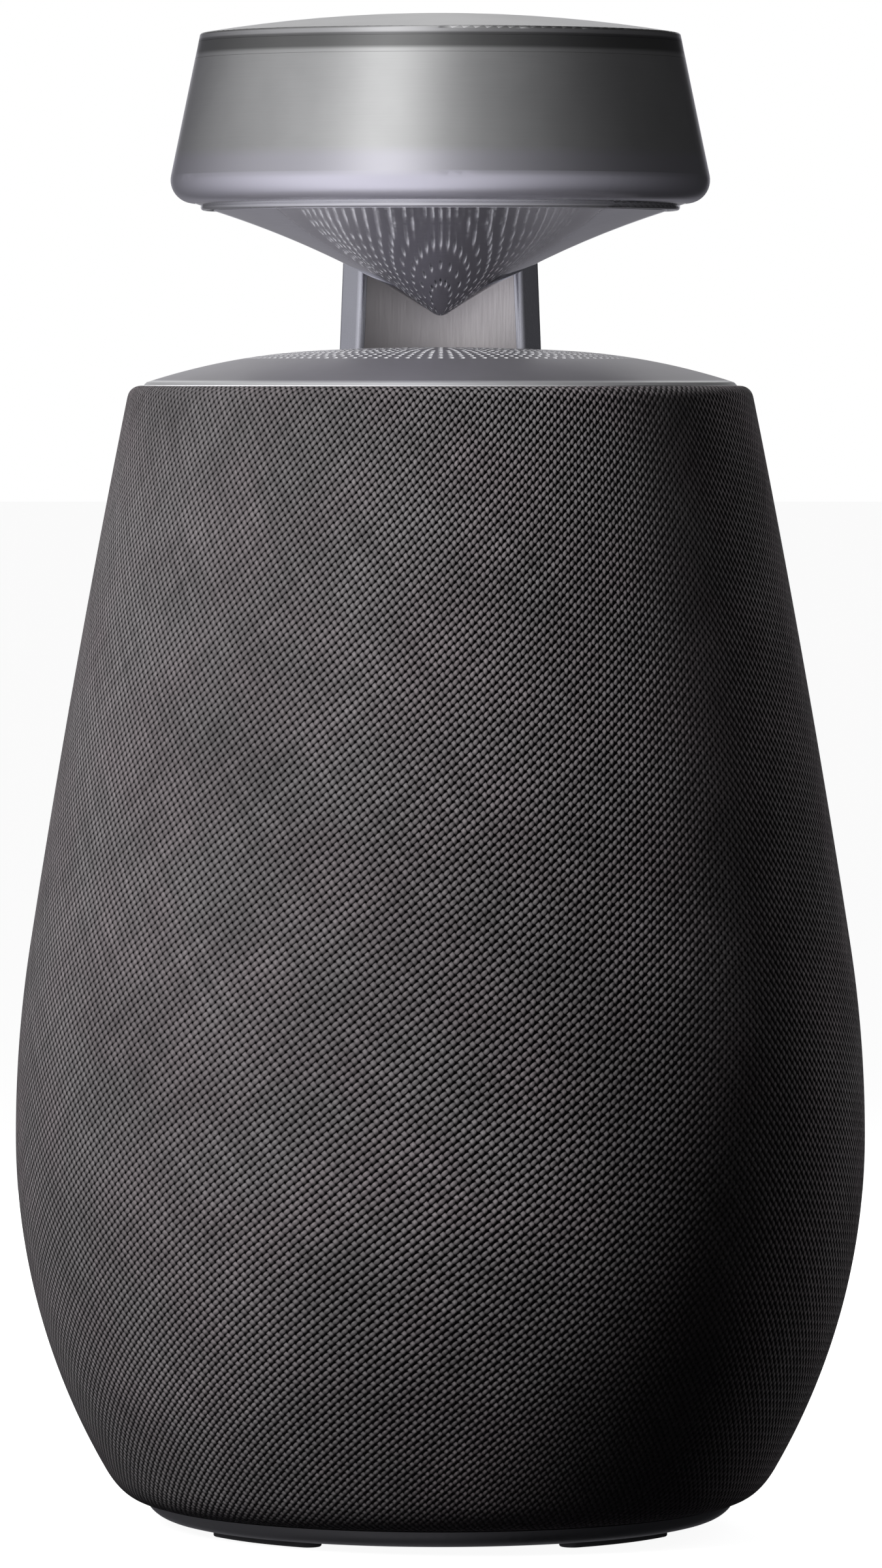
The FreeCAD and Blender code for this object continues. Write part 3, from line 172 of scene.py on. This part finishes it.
def moulded(name, color, roughness=0.5, grain=1400.0, depth=0.00003, **values):
    """Moulded plastic or rubber: a fine spark-eroded grain and slight unevenness of tone and gloss."""
    look = Look(name, color, **values)
    where = look.where()
    fine = look.noise(where, grain, 3.0, 0.6)
    broad = look.noise(where, 45.0, 3.0, 0.6)
    tone = look.ramp(broad, 0.3, 0.7, 0.82, 1.18)
    look.set(Base_Color=look.mix(1.0, color, look.grey(tone), "MULTIPLY"))
    uneven = look.math("MULTIPLY_ADD", fine, 0.5, broad)
    look.set(Roughness=look.ramp(uneven, 0.4, 1.1, roughness - 0.08, roughness + 0.1))
    look.bump(fine, depth, 0.6)
    return look


def brushed(
    name,
    color,
    roughness=0.3,
    along="ring",
    lines=5200.0,
    depth=0.000006,
    spread=0.06,
    stretch=0.0,
    streak=0.05,
):
    """Metal with a fine directional finish: around the axis (ring), or straight along x, y or z.

    stretch draws the highlights out across the brushing of a ring finish. streak is how much the tone of the
    lines varies.
    """
    look = Look(name, color, Metallic=1.0)
    x, y, z = look.split(look.where())
    if along == "ring":
        radius = look.math("SQRT", look.plus(look.times(x, x), look.times(y, y)))
        angle = look.math("ARCTAN2", y, x)
        across = look.join(radius, look.times(angle, 0.0006), z)
    else:
        kept = {"x": (0.02, 1, 1), "y": (1, 0.02, 1), "z": (1, 1, 0.02)}[along]
        across = look.join(*(look.times(value, share) for value, share in zip((x, y, z), kept)))
    if stretch:
        look.shader.inputs["Anisotropic"].default_value = stretch
        look.shader.inputs["Anisotropic Rotation"].default_value = 0.25
        look.set(Tangent=look.node("Tangent", {"direction_type": "RADIAL", "axis": "Z"}))
    line = look.noise(across, lines, 3.0, 0.65)
    cloud = look.noise(look.join(x, y, z), 60.0, 3.0, 0.6)
    streaks = look.ramp(line, 0.25, 0.75, -streak, streak)
    tone = look.plus(streaks, look.ramp(cloud, 0.3, 0.7, 0.96, 1.04))
    look.height = z
    look.color = look.mix(1.0, color, look.grey(tone), "MULTIPLY")
    look.set(Base_Color=look.color)
    look.set(Roughness=look.ramp(line, 0.25, 0.75, roughness - spread, roughness + spread))
    look.bump(line, depth, 0.5)
    return look


# ---- the woven cover -----------------------------------------------------------------------------

AROUND_WARP, AROUND_WEFT = 312, 252  # yarns met on the way round the body, one count for each set of yarns
UP_WARP, UP_WEFT = 0.601, -0.741  # yarns met for each millimetre upwards
YARN_HALF, YARN_SPREAD = 0.365, 0.09  # half a yarn's width in spacings, and its swelling on top
YARN_RISE, YARN_ROUND = 0.45, 0.75  # the height a yarn gains by passing over, and by being round
HOLE_DROP, HOLE_FLOOR = 2.0, -0.9  # how far it falls off beside a yarn, and the lowest the weave gets
WARP_WOBBLE = 0.12  # how unevenly the warp lies, in spacings
FIBRE_FINE, FIBRE_LONG = 9.0, 1.4  # how often the fibre pattern repeats across and along a yarn
WEAVE_RELIEF, FIBRE_RELIEF = 0.0006, 0.12  # the bump's depth in metres, and the fibres' share of it


def woven():
    """A plain weave laid on the bias.

    Its UV map holds the turn round the body, from -0.5 to 0.5 with 0 in front, and the way up in mm.
    """
    look = Look("charcoal_weave", (0.05, 0.048, 0.05), Roughness=0.85, Specular_IOR_Level=0.06)
    look.shader.inputs["Sheen Weight"].default_value = 0.05
    look.shader.inputs["Sheen Roughness"].default_value = 0.45
    look.shader.inputs["Sheen Tint"].default_value = (0.8, 0.76, 0.8, 1)
    turn, up, _ = look.split(look.node("UVMap", {"uv_map": "cloth"}))
    warp = look.plus(look.times(turn, AROUND_WARP), look.times(up, UP_WARP))
    weft = look.plus(look.times(turn, AROUND_WEFT), look.times(up, UP_WEFT))
    wobble = look.noise(look.join(warp, weft, 0.0), 0.35, 1.0)
    warp = look.plus(warp, look.ramp(wobble, 0.0, 1.0, -WARP_WOBBLE, WARP_WOBBLE, smooth=False))
    rows, columns = look.math("FLOOR", warp), look.math("FLOOR", weft)
    across_warp = look.minus(look.math("FRACT", warp), 0.5)
    across_weft = look.minus(look.math("FRACT", weft), 0.5)
    odd = look.math("MODULO", look.math("ABSOLUTE", look.plus(rows, columns)), 2.0)
    sign = look.math("MULTIPLY_ADD", look.math("ROUND", odd), -2.0, 1.0)

    def yarn(across, along, over):
        """The height of one set of yarns, from where the point lies across and along a crossing."""
        rise = look.times(look.math("COSINE", look.times(along, math.pi)), over)
        half = look.math("MULTIPLY_ADD", rise, YARN_SPREAD, YARN_HALF)
        share = look.math("DIVIDE", look.math("ABSOLUTE", across), half)
        left = look.math("MAXIMUM", look.minus(1.0, look.times(share, share)), 0.0)
        curved = look.math("SQRT", left)
        inside = look.math("LESS_THAN", share, 1.0)
        height = look.math("MULTIPLY_ADD", rise, YARN_RISE, look.times(curved, YARN_ROUND))
        return look.minus(height, look.times(look.minus(1.0, inside), HOLE_DROP))

    warp_height = yarn(across_warp, across_weft, sign)
    weft_height = yarn(across_weft, across_warp, look.times(sign, -1.0))
    top = look.math("MAXIMUM", look.math("MAXIMUM", warp_height, weft_height), HOLE_FLOOR)
    # Fibres run along the yarn that is on top, so they are stretched along one set or the other.
    along_warp = look.join(look.times(warp, FIBRE_FINE), look.times(weft, FIBRE_LONG), rows)
    along_weft = look.join(look.times(warp, FIBRE_LONG), look.times(weft, FIBRE_FINE), columns)
    warp_fibre = look.noise(along_warp, 1.0, 3.0, 0.7)
    weft_fibre = look.noise(along_weft, 1.0, 3.0, 0.7)
    warp_on_top = look.math("GREATER_THAN", warp_height, weft_height)
    fibre = look.plus(
        look.times(warp_fibre, warp_on_top),
        look.times(weft_fibre, look.minus(1.0, warp_on_top)),
    )
    where = look.where()
    patches = look.noise(where, 26.0, 4.0, 0.6)
    streaks = look.noise(look.join(look.times(warp, 0.9), look.times(weft, 0.05), 3.0), 1.0, 2.0)
    crossed = look.noise(look.join(look.times(warp, 0.05), look.times(weft, 0.9), 7.0), 1.0, 2.0)
    tone = look.ramp(patches, 0.3, 0.7, 0.8, 1.2)
    tone = look.times(tone, look.ramp(streaks, 0.3, 0.7, 0.88, 1.1))
    tone = look.times(tone, look.ramp(crossed, 0.3, 0.7, 0.88, 1.1))
    tone = look.times(tone, look.ramp(fibre, 0.25, 0.75, 0.78, 1.22))
    # Painted shade and highlight: the tone darkens where the weave lies low, in its holes and down the sides
    # of the yarns, and brightens on the yarns' tops.
    depth = look.times(look.ramp(top, -0.6, 0.5, 0.0, 0.85), look.ramp(top, 0.35, 1.1, 1.0, 1.9))
    tone = look.times(tone, depth)
    warmth = look.ramp(look.noise(where, 60.0, 3.0), 0.35, 0.7)
    tint = look.mix(warmth, (0.104, 0.098, 0.101), (0.112, 0.100, 0.105))
    look.set(Base_Color=look.mix(1.0, tint, look.grey(tone), "MULTIPLY"))
    height = look.math("MULTIPLY_ADD", fibre, FIBRE_RELIEF, top)
    look.bump(height, WEAVE_RELIEF, 1.0)
    return look


SLEEVE_LOW, SLEEVE_TOP = 3.95, 182.2  # the cover's two edges, in millimetres
HEM_TOP, ROLL, ROLL_FROM = 9.0, 2.1, 2.3  # where the lower roll ends; the upper roll's radius and its start
HEM_STEPS, PROFILE_ROWS, ROLL_STEPS = 12, 118, 8
SEGMENTS = 360
TURN_IN = 1.2  # how deep the edge of the strip's opening turns in


def cloth_profile():
    """The cover's outline from its lower edge up to its upper edge, in mm, as (radius, height, way along)."""
    low, top = SLEEVE_LOW, SLEEVE_TOP
    points = [(46.7, low + 0.9), (46.9, low + 0.35), (47.4, low)]
    join = HEM_TOP
    start, end = (47.4, low), (skin(join), join)
    # The rolled lower edge: a quadratic curve that leaves the base level and meets the outline's slope.
    lean = (skin(join + 0.1) - skin(join)) / 0.1
    corner = (end[0] - (join - low - 0.25) * lean, low + 0.25)
    for n in range(1, HEM_STEPS + 1):
        t = n / HEM_STEPS
        parts = zip(start, corner, end)
        points.append(tuple((1 - t) ** 2 * a + 2 * t * (1 - t) * c + t * t * b for a, c, b in parts))
    for n in range(1, PROFILE_ROWS + 1):
        z = join + (top - ROLL_FROM - join) * n / PROFILE_ROWS
        points.append((skin(z), z))
    centre = (skin(top - ROLL_FROM) - ROLL - 0.1, top - ROLL)
    for n in range(1, ROLL_STEPS + 1):
        angle = math.pi / 2 * n / ROLL_STEPS
        points.append((centre[0] + ROLL * math.cos(angle), centre[1] + ROLL * math.sin(angle)))
    points += [(48.0, top - 0.02), (47.62, top - 0.14), (47.5, top - 0.5), (47.5, top - 0.9)]
    way, out = 0.0, []
    for n, place in enumerate(points):
        if n:
            way += math.dist(place, points[n - 1])
        out.append((*place, way))
    return out


STRIP_HALF, STRIP_LOW, STRIP_HIGH, STRIP_CORNER = 10.2, 43.8, 114.2, 5.2


def strip_distance(x, z):
    """How far a point lies outside the control strip's opening (negative inside), and the nearest way out."""
    middle = (STRIP_LOW + STRIP_HIGH) / 2
    dx = abs(x) - (STRIP_HALF - STRIP_CORNER)
    dz = abs(z - middle) - ((STRIP_HIGH - STRIP_LOW) / 2 - STRIP_CORNER)
    if dx > 0 and dz > 0:
        far = math.hypot(dx, dz)
        way = (dx / far * math.copysign(1, x), dz / far * math.copysign(1, z - middle))
        return far - STRIP_CORNER, way
    if dx > dz:
        return dx - STRIP_CORNER, (math.copysign(1, x), 0)
    return dz - STRIP_CORNER, (0, math.copysign(1, z - middle))


def finished(name, made, look):
    """The object made of a bmesh, smooth, with its material."""
    mesh = bpy.data.meshes.new(name)
    made.to_mesh(mesh)
    made.free()
    mesh.polygons.foreach_set("use_smooth", [True] * len(mesh.polygons))
    mesh.materials.append(look.material)
    piece = bpy.data.objects.new(name, mesh)
    bpy.context.scene.collection.objects.link(piece)
    return piece


def woven_sleeve():
    """The cover as one stretched sheet, with an opening for the control strip and turned-in edges."""
    profile = cloth_profile()
    made = bmesh.new()
    uv = made.loops.layers.uv.new("cloth")
    rings = []
    for radius, z, _ in profile:
        ring = []
        for n in range(SEGMENTS):
            angle = 2 * math.pi * (n / SEGMENTS - 0.5)
            place = (radius * math.sin(angle) * MM, -radius * math.cos(angle) * MM, z * MM)
            ring.append(made.verts.new(place))
        rings.append(ring)
    for row, (low, high) in enumerate(zip(rings, rings[1:])):
        for n in range(SEGMENTS):
            after = (n + 1) % SEGMENTS
            face = made.faces.new((low[n], low[after], high[after], high[n]))
            left, right = n / SEGMENTS - 0.5, (n + 1) / SEGMENTS - 0.5
            turns = (left, right, right, left)
            ups = (profile[row][2], profile[row][2], profile[row + 1][2], profile[row + 1][2])
            for loop, turn, up in zip(face.loops, turns, ups):
                loop[uv].uv = (turn, up)
    # The opening at the back: its faces go, and the edge left is moved onto the opening's outline.
    gone = []
    for face in made.faces:
        centre = face.calc_center_median() / MM
        if centre.y > 0 and strip_distance(centre.x, centre.z)[0] < 0:
            gone.append(face)
    bmesh.ops.delete(made, geom=gone, context="FACES")
    rim = [e for e in made.edges if e.is_boundary and 30 < e.verts[0].co.z / MM < 130]
    for vert in {v for e in rim for v in e.verts}:
        for _ in range(3):
            x, z = vert.co.x / MM, vert.co.z / MM
            far, way = strip_distance(x, z)
            x, z = x - far * way[0], z - far * way[1]
            vert.co = Vector((x, math.sqrt(skin(z) ** 2 - x * x), z)) * MM
    turned = bmesh.ops.extrude_edge_only(made, edges=rim)["geom"]
    for vert in (g for g in turned if isinstance(g, bmesh.types.BMVert)):
        vert.co.y -= TURN_IN * MM
    for face in (g for g in turned if isinstance(g, bmesh.types.BMFace)):
        side = math.copysign(1, face.calc_center_median().x)
        for loop in face.loops:
            near = loop.vert.co
            loop[uv].uv = (side * abs(math.atan2(near.x, -near.y)) / (2 * math.pi), 0.0)
    bmesh.ops.recalc_face_normals(made, faces=made.faces)
    piece = finished("woven_sleeve", made, woven())
    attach(piece, "housing")
    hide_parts("fabric_sleeve")


# ---- materials of the CAD nodes ------------------------------------------------------------------


SMOKE_TOP, SMOKE_LOW = 0.2374, 0.2350  # the smoky band round the crown, just under the cap's lip
# Painted reflection: the heights between which the drum's rounded lower edge is tinted cool.
COOL_REFLECTION_TOP, COOL_REFLECTION_LOW = 0.2202, 0.2176  # where the drum's tone turns cool above its rounded edge


def crown_look(name, color):
    """The crown's bright brushed finish, with the soft smoky band that crosses its pieces, and a painted
    reflection: a cool tint on the drum's rounded lower edge.
    """
    look = brushed(
        name, color, 0.32, lines=6500.0, depth=0.0000002, spread=0.012, stretch=0.55, streak=0.015
    )
    above = look.ramp(look.height, SMOKE_TOP - 0.0002, SMOKE_TOP + 0.0002)
    below = look.ramp(look.height, SMOKE_LOW - 0.0004, SMOKE_LOW + 0.0004, 1.0, 0.0)
    clear = look.math("MAXIMUM", above, below)
    smoke = look.ramp(clear, 0.0, 1.0, 0.36, 1.0, smooth=False)
    # Painted reflection: the drum is tinted lavender on its rounded lower edge and just above it, for the
    # cool light that edge reflects from below.
    cool = look.ramp(look.height, COOL_REFLECTION_LOW, COOL_REFLECTION_TOP, 1.0, 0.0)
    reflection_tinted = look.mix(cool, look.color, (0.86, 0.85, 0.92))
    look.set(Base_Color=look.mix(1.0, reflection_tinted, look.grey(smoke), "MULTIPLY"))
    return look


def plate_look():
    """The dark satin top plate. The sides of its holes are painted near-white and matt, a painted highlight
    that shows as bright dots; its turned rim is a bright edge, painted lighter still for its highlight line.
    """
    look = brushed("plate_satin", (0.42, 0.41, 0.44), 0.4, spread=0.04)
    _, _, up = look.split(look.node("TexCoord", out="Normal"))
    # Painted highlight: the sides of the holes, picked out by their normals, turn near-white and matt so that
    # they light up as bright dots.
    hole_wall_highlight = look.ramp(up, 0.35, 0.6, 1.0, 0.0)
    # Painted highlight: the rim under the plate's edge is painted near-white, for the bright line along it.
    rim = look.ramp(look.height, 0.1829, 0.1832, 1.0, 0.0)
    look.set(Base_Color=look.mix(look.math("MAXIMUM", hole_wall_highlight, rim), look.color, (0.9, 0.9, 0.92)))
    look.set(Metallic=look.ramp(hole_wall_highlight, 0.0, 1.0, 0.75, 0.1))
    return look


def paint(node, look):
    """Gives a CAD node one material."""
    slots = nodes[node].data.materials
    slots.clear()
    slots.append(look.material)


LOOKS = {
    "dark_satin_metal": plate_look,
    "neck_metal": lambda: brushed("neck_satin", (0.66, 0.67, 0.71), 0.3, "z", streak=0.02, depth=0.000001),
    "warm_brushed_metal": lambda: brushed(
        "liner_warm", (0.72, 0.69, 0.67), 0.36, "z", 6500.0, streak=0.02, depth=0.000001
    ),
    "metallised_shell": lambda: crown_look("drum_satin", (0.8, 0.805, 0.8)),
    "crown_top_metal": lambda: crown_look("cap_satin", (0.8, 0.8, 0.81)),
    "smoked_band": lambda: crown_look("smoked_band", (0.8, 0.805, 0.8)),
    "mirror_metal": lambda: brushed(
        "cone_mirror", (0.80, 0.79, 0.84), 0.06, lines=9000.0, depth=0.0000004, spread=0.02
    ),
    "polished_trim": lambda: brushed("trim_polished", (0.75, 0.75, 0.77), 0.12, spread=0.03),
    "base_plastic": lambda: moulded("base_satin", (0.03, 0.03, 0.034), 0.35),
    "foot_rubber": lambda: moulded("foot_rubber", (0.02, 0.02, 0.02), 0.75),
    "strip_rubber": lambda: moulded("strip_soft", (0.03, 0.03, 0.033), 0.5),
    "cover_rubber": lambda: moulded("cover_rubber", (0.035, 0.035, 0.038), 0.62),
    "key_rubber": lambda: moulded("key_rubber", (0.05, 0.05, 0.054), 0.58),
    "inner_plastic": lambda: moulded("inner_plastic", (0.045, 0.045, 0.05), 0.5),
    "gasket_foam": lambda: moulded("gasket_foam", (0.03, 0.03, 0.03), 0.9, 2500.0, 0.0001),
    "screw_steel": lambda: brushed("screw_steel", (0.55, 0.55, 0.57), 0.3),
    "cell_wrap": lambda: moulded("cell_wrap", (0.04, 0.12, 0.3), 0.25),
    "board_green": lambda: moulded("board_green", (0.02, 0.11, 0.05), 0.35, 900.0),
    "board_black": lambda: moulded("board_black", (0.02, 0.025, 0.025), 0.35, 900.0),
    "component_black": lambda: moulded("component_black", (0.025, 0.025, 0.027), 0.45),
    "socket_metal": lambda: brushed("socket_metal", (0.62, 0.62, 0.64), 0.25, "y"),
    "basket_steel": lambda: moulded("basket_paint", (0.03, 0.03, 0.03), 0.4),
    "magnet_ferrite": lambda: moulded("magnet_ferrite", (0.05, 0.05, 0.052), 0.7, 800.0),
    "magnet_nickel": lambda: brushed("magnet_nickel", (0.65, 0.64, 0.62), 0.15),
    "motor_steel": lambda: brushed("motor_steel", (0.55, 0.55, 0.56), 0.35),
    "cone_paper": lambda: moulded("cone_pulp", (0.035, 0.035, 0.035), 0.85, 700.0, 0.0001),
    "surround_rubber": lambda: moulded("surround_rubber", (0.02, 0.02, 0.02), 0.6),
    "spider_cloth": lambda: moulded("spider_cloth", (0.45, 0.27, 0.09), 0.7, 1800.0, 0.0001),
    "coil_copper": lambda: brushed("coil_copper", (0.75, 0.38, 0.2), 0.3, lines=9000.0),
    "radiator_metal": lambda: brushed("radiator_metal", (0.3, 0.3, 0.32), 0.35, "x"),
    "tweeter_plastic": lambda: moulded("tweeter_plastic", (0.03, 0.03, 0.03), 0.5),
    "tweeter_silk": lambda: moulded("tweeter_silk", (0.04, 0.04, 0.04), 0.6, 2200.0, 0.00006),
    "ribbon_film": lambda: moulded("ribbon_film", (0.42, 0.2, 0.03), 0.3),
    "guide_frost": lambda: moulded("guide_frost", (0.8, 0.8, 0.8), 0.5, Subsurface_Weight=0.2),
}


def paint_all():
    """One look for each material slot of the record, given to every CAD node in that slot."""
    for slot, make in LOOKS.items():
        look = make()
        for part in frame["record"]["subparts"]:
            if part["material_slot"] == slot:
                paint(part["node"], look)


# ---- floor, light and camera ---------------------------------------------------------------------

# Softboxes as (azimuth from the front in degrees, distance, height, size, watts, height faced on the axis).
SOFTBOXES = {
    "key_left": (-46, 0.6, 0.5, (0.14, 0.35), 6.0, 0.13),
    "front_soft": (-38, 0.62, 0.4, (0.25, 0.35), 0.7, 0.12),
    "back_soft": (180, 0.6, 0.25, (0.5, 0.6), 4.0, 0.19),
    "right_soft": (132, 0.65, 0.3, (0.4, 0.5), 2.2, 0.12),
}
FLOOR_RADIUS, FLOOR_Z = 12, -0.0001  # just under the feet, so that their faces and the floor's don't coincide
FLOOR_GLOW = 0.93
FOCAL_LENGTH, SENSOR_WIDTH = 221.7, 36.0  # millimetres
CAMERA_PLACE, CAMERA_DOWN = (0.0001, -1.545, 0.1848), 2.458  # metres, and degrees below level
CLIP_NEAR, CLIP_FAR = 0.01, 60.0


def softbox(name, azimuth, distance, height, size, power, aim):
    """A rectangular light at an azimuth from the front (-Y), positive to the right, unseen in reflections."""
    data = bpy.data.lights.new(name, "AREA")
    data.shape = "RECTANGLE"
    data.size, data.size_y = size
    data.energy = power
    light = bpy.data.objects.new(name, data)
    turn = math.radians(azimuth)
    light.location = (distance * math.sin(turn), -distance * math.cos(turn), height)
    light.rotation_euler = (light.location - Vector((0, 0, aim))).to_track_quat("Z", "Y").to_euler()
    light.visible_camera = False
    light.visible_glossy = False
    bpy.context.scene.collection.objects.link(light)


def glowing(name, color, glow, share):
    """A pale matt surface that also glows a little, so that it stays white under the softboxes."""
    look = Look(name, color, Roughness=0.9)
    tone = look.noise(look.where(), 3.0, 2.0)
    darker = tuple(c * 0.97 for c in color)
    look.set(Base_Color=look.mix(look.ramp(tone, 0.3, 0.7, 0.0, share), color, darker))
    look.shader.inputs["Emission Color"].default_value = (1, 1, 1, 1)
    look.shader.inputs["Emission Strength"].default_value = glow
    look.material.cycles.emission_sampling = "NONE"
    return look


# What polished surfaces see round the hub: soft lobes of light as (azimuth, width, strength). The angles are
# in degrees, from the front.
HIGH_LOBES = ((-24, 22, 0.62), (-70, 62, 0.38), (10, 46, 0.13))
LOW_LOBES = ((-40, 85, 0.8),)
BACK_GLOW, BACK_FROM, BACK_FULL = 0.62, 162.0, 172.0
LOBE_FLOOR = 0.02  # the least light from any direction
AMBIENT = (0.004, 0.004, 0.004)  # what matt surfaces get from the world


def lobes(nodes, azimuth, parts):
    """The sum of bell-shaped lobes over the azimuth, in degrees."""
    total = LOBE_FLOOR
    for centre, width, strength in parts:
        away = nodes.math("DIVIDE", nodes.minus(azimuth, centre), width)
        bell = nodes.math("EXPONENT", nodes.times(nodes.times(away, away), -1.0))
        total = nodes.math("MULTIPLY_ADD", bell, strength, total)
    return total


def surroundings():
    """The world: white for the camera, almost dark for matt surfaces, and a soft studio for glossy rays.

    Glossy rays see a peaked light at the front left above, a broad cool glow low down and a soft area behind.
    """
    world = bpy.data.worlds.new("studio")
    world.use_nodes = True
    nodes = Nodes(world.node_tree)
    x, y, z = nodes.split(nodes.node("TexCoord", out="Generated"))
    azimuth = nodes.math("DEGREES", nodes.math("ARCTAN2", x, nodes.times(y, -1.0)))
    height = nodes.math("DEGREES", nodes.math("ARCSINE", z))
    high = lobes(nodes, azimuth, HIGH_LOBES)
    low = lobes(nodes, azimuth, LOW_LOBES)
    behind = nodes.ramp(nodes.math("ABSOLUTE", azimuth), BACK_FROM, BACK_FULL, 0.0, BACK_GLOW)
    behind = nodes.times(behind, nodes.ramp(height, -6.0, 2.0, 0.25, 1.0))
    rise = nodes.ramp(height, 4.0, 14.0)
    cool = nodes.mix(1.0, (0.97, 0.96, 1.04), nodes.grey(nodes.plus(low, behind)), "MULTIPLY")
    seen = nodes.mix(rise, cool, nodes.grey(nodes.plus(high, behind)))
    path = nodes.tree.nodes.new("ShaderNodeLightPath")
    glossy, camera = path.outputs["Is Glossy Ray"], path.outputs["Is Camera Ray"]
    shown = nodes.mix(glossy, AMBIENT, seen)
    shown = nodes.mix(camera, shown, (1.0, 1.0, 1.0))
    nodes.tree.links.new(shown, nodes.tree.nodes["Background"].inputs["Color"])
    bpy.context.scene.world = world


def studio():
    """The world, the floor, the softboxes and the camera."""
    scene = bpy.context.scene
    surroundings()
    scene.view_settings.view_transform = "Standard"

    bpy.ops.mesh.primitive_circle_add(
        vertices=96, radius=FLOOR_RADIUS, fill_type="NGON", location=(0, 0, FLOOR_Z)
    )
    floor = bpy.context.object
    floor.name = "floor"
    floor.data.materials.append(glowing("pale_floor", (0.3, 0.3, 0.3), FLOOR_GLOW, 0.5).material)
    floor.visible_diffuse = False
    floor.visible_glossy = False

    for name, values in SOFTBOXES.items():
        softbox(name, *values)

    camera_data = bpy.data.cameras.new("camera")
    camera_data.lens = FOCAL_LENGTH
    camera_data.sensor_width = SENSOR_WIDTH
    camera_data.clip_start = CLIP_NEAR
    camera_data.clip_end = CLIP_FAR
    camera = bpy.data.objects.new("camera", camera_data)
    camera.location = CAMERA_PLACE
    camera.rotation_euler = (math.radians(90 - CAMERA_DOWN), 0, 0)
    scene.collection.objects.link(camera)
    scene.camera = camera


paint_all()
woven_sleeve()
studio()
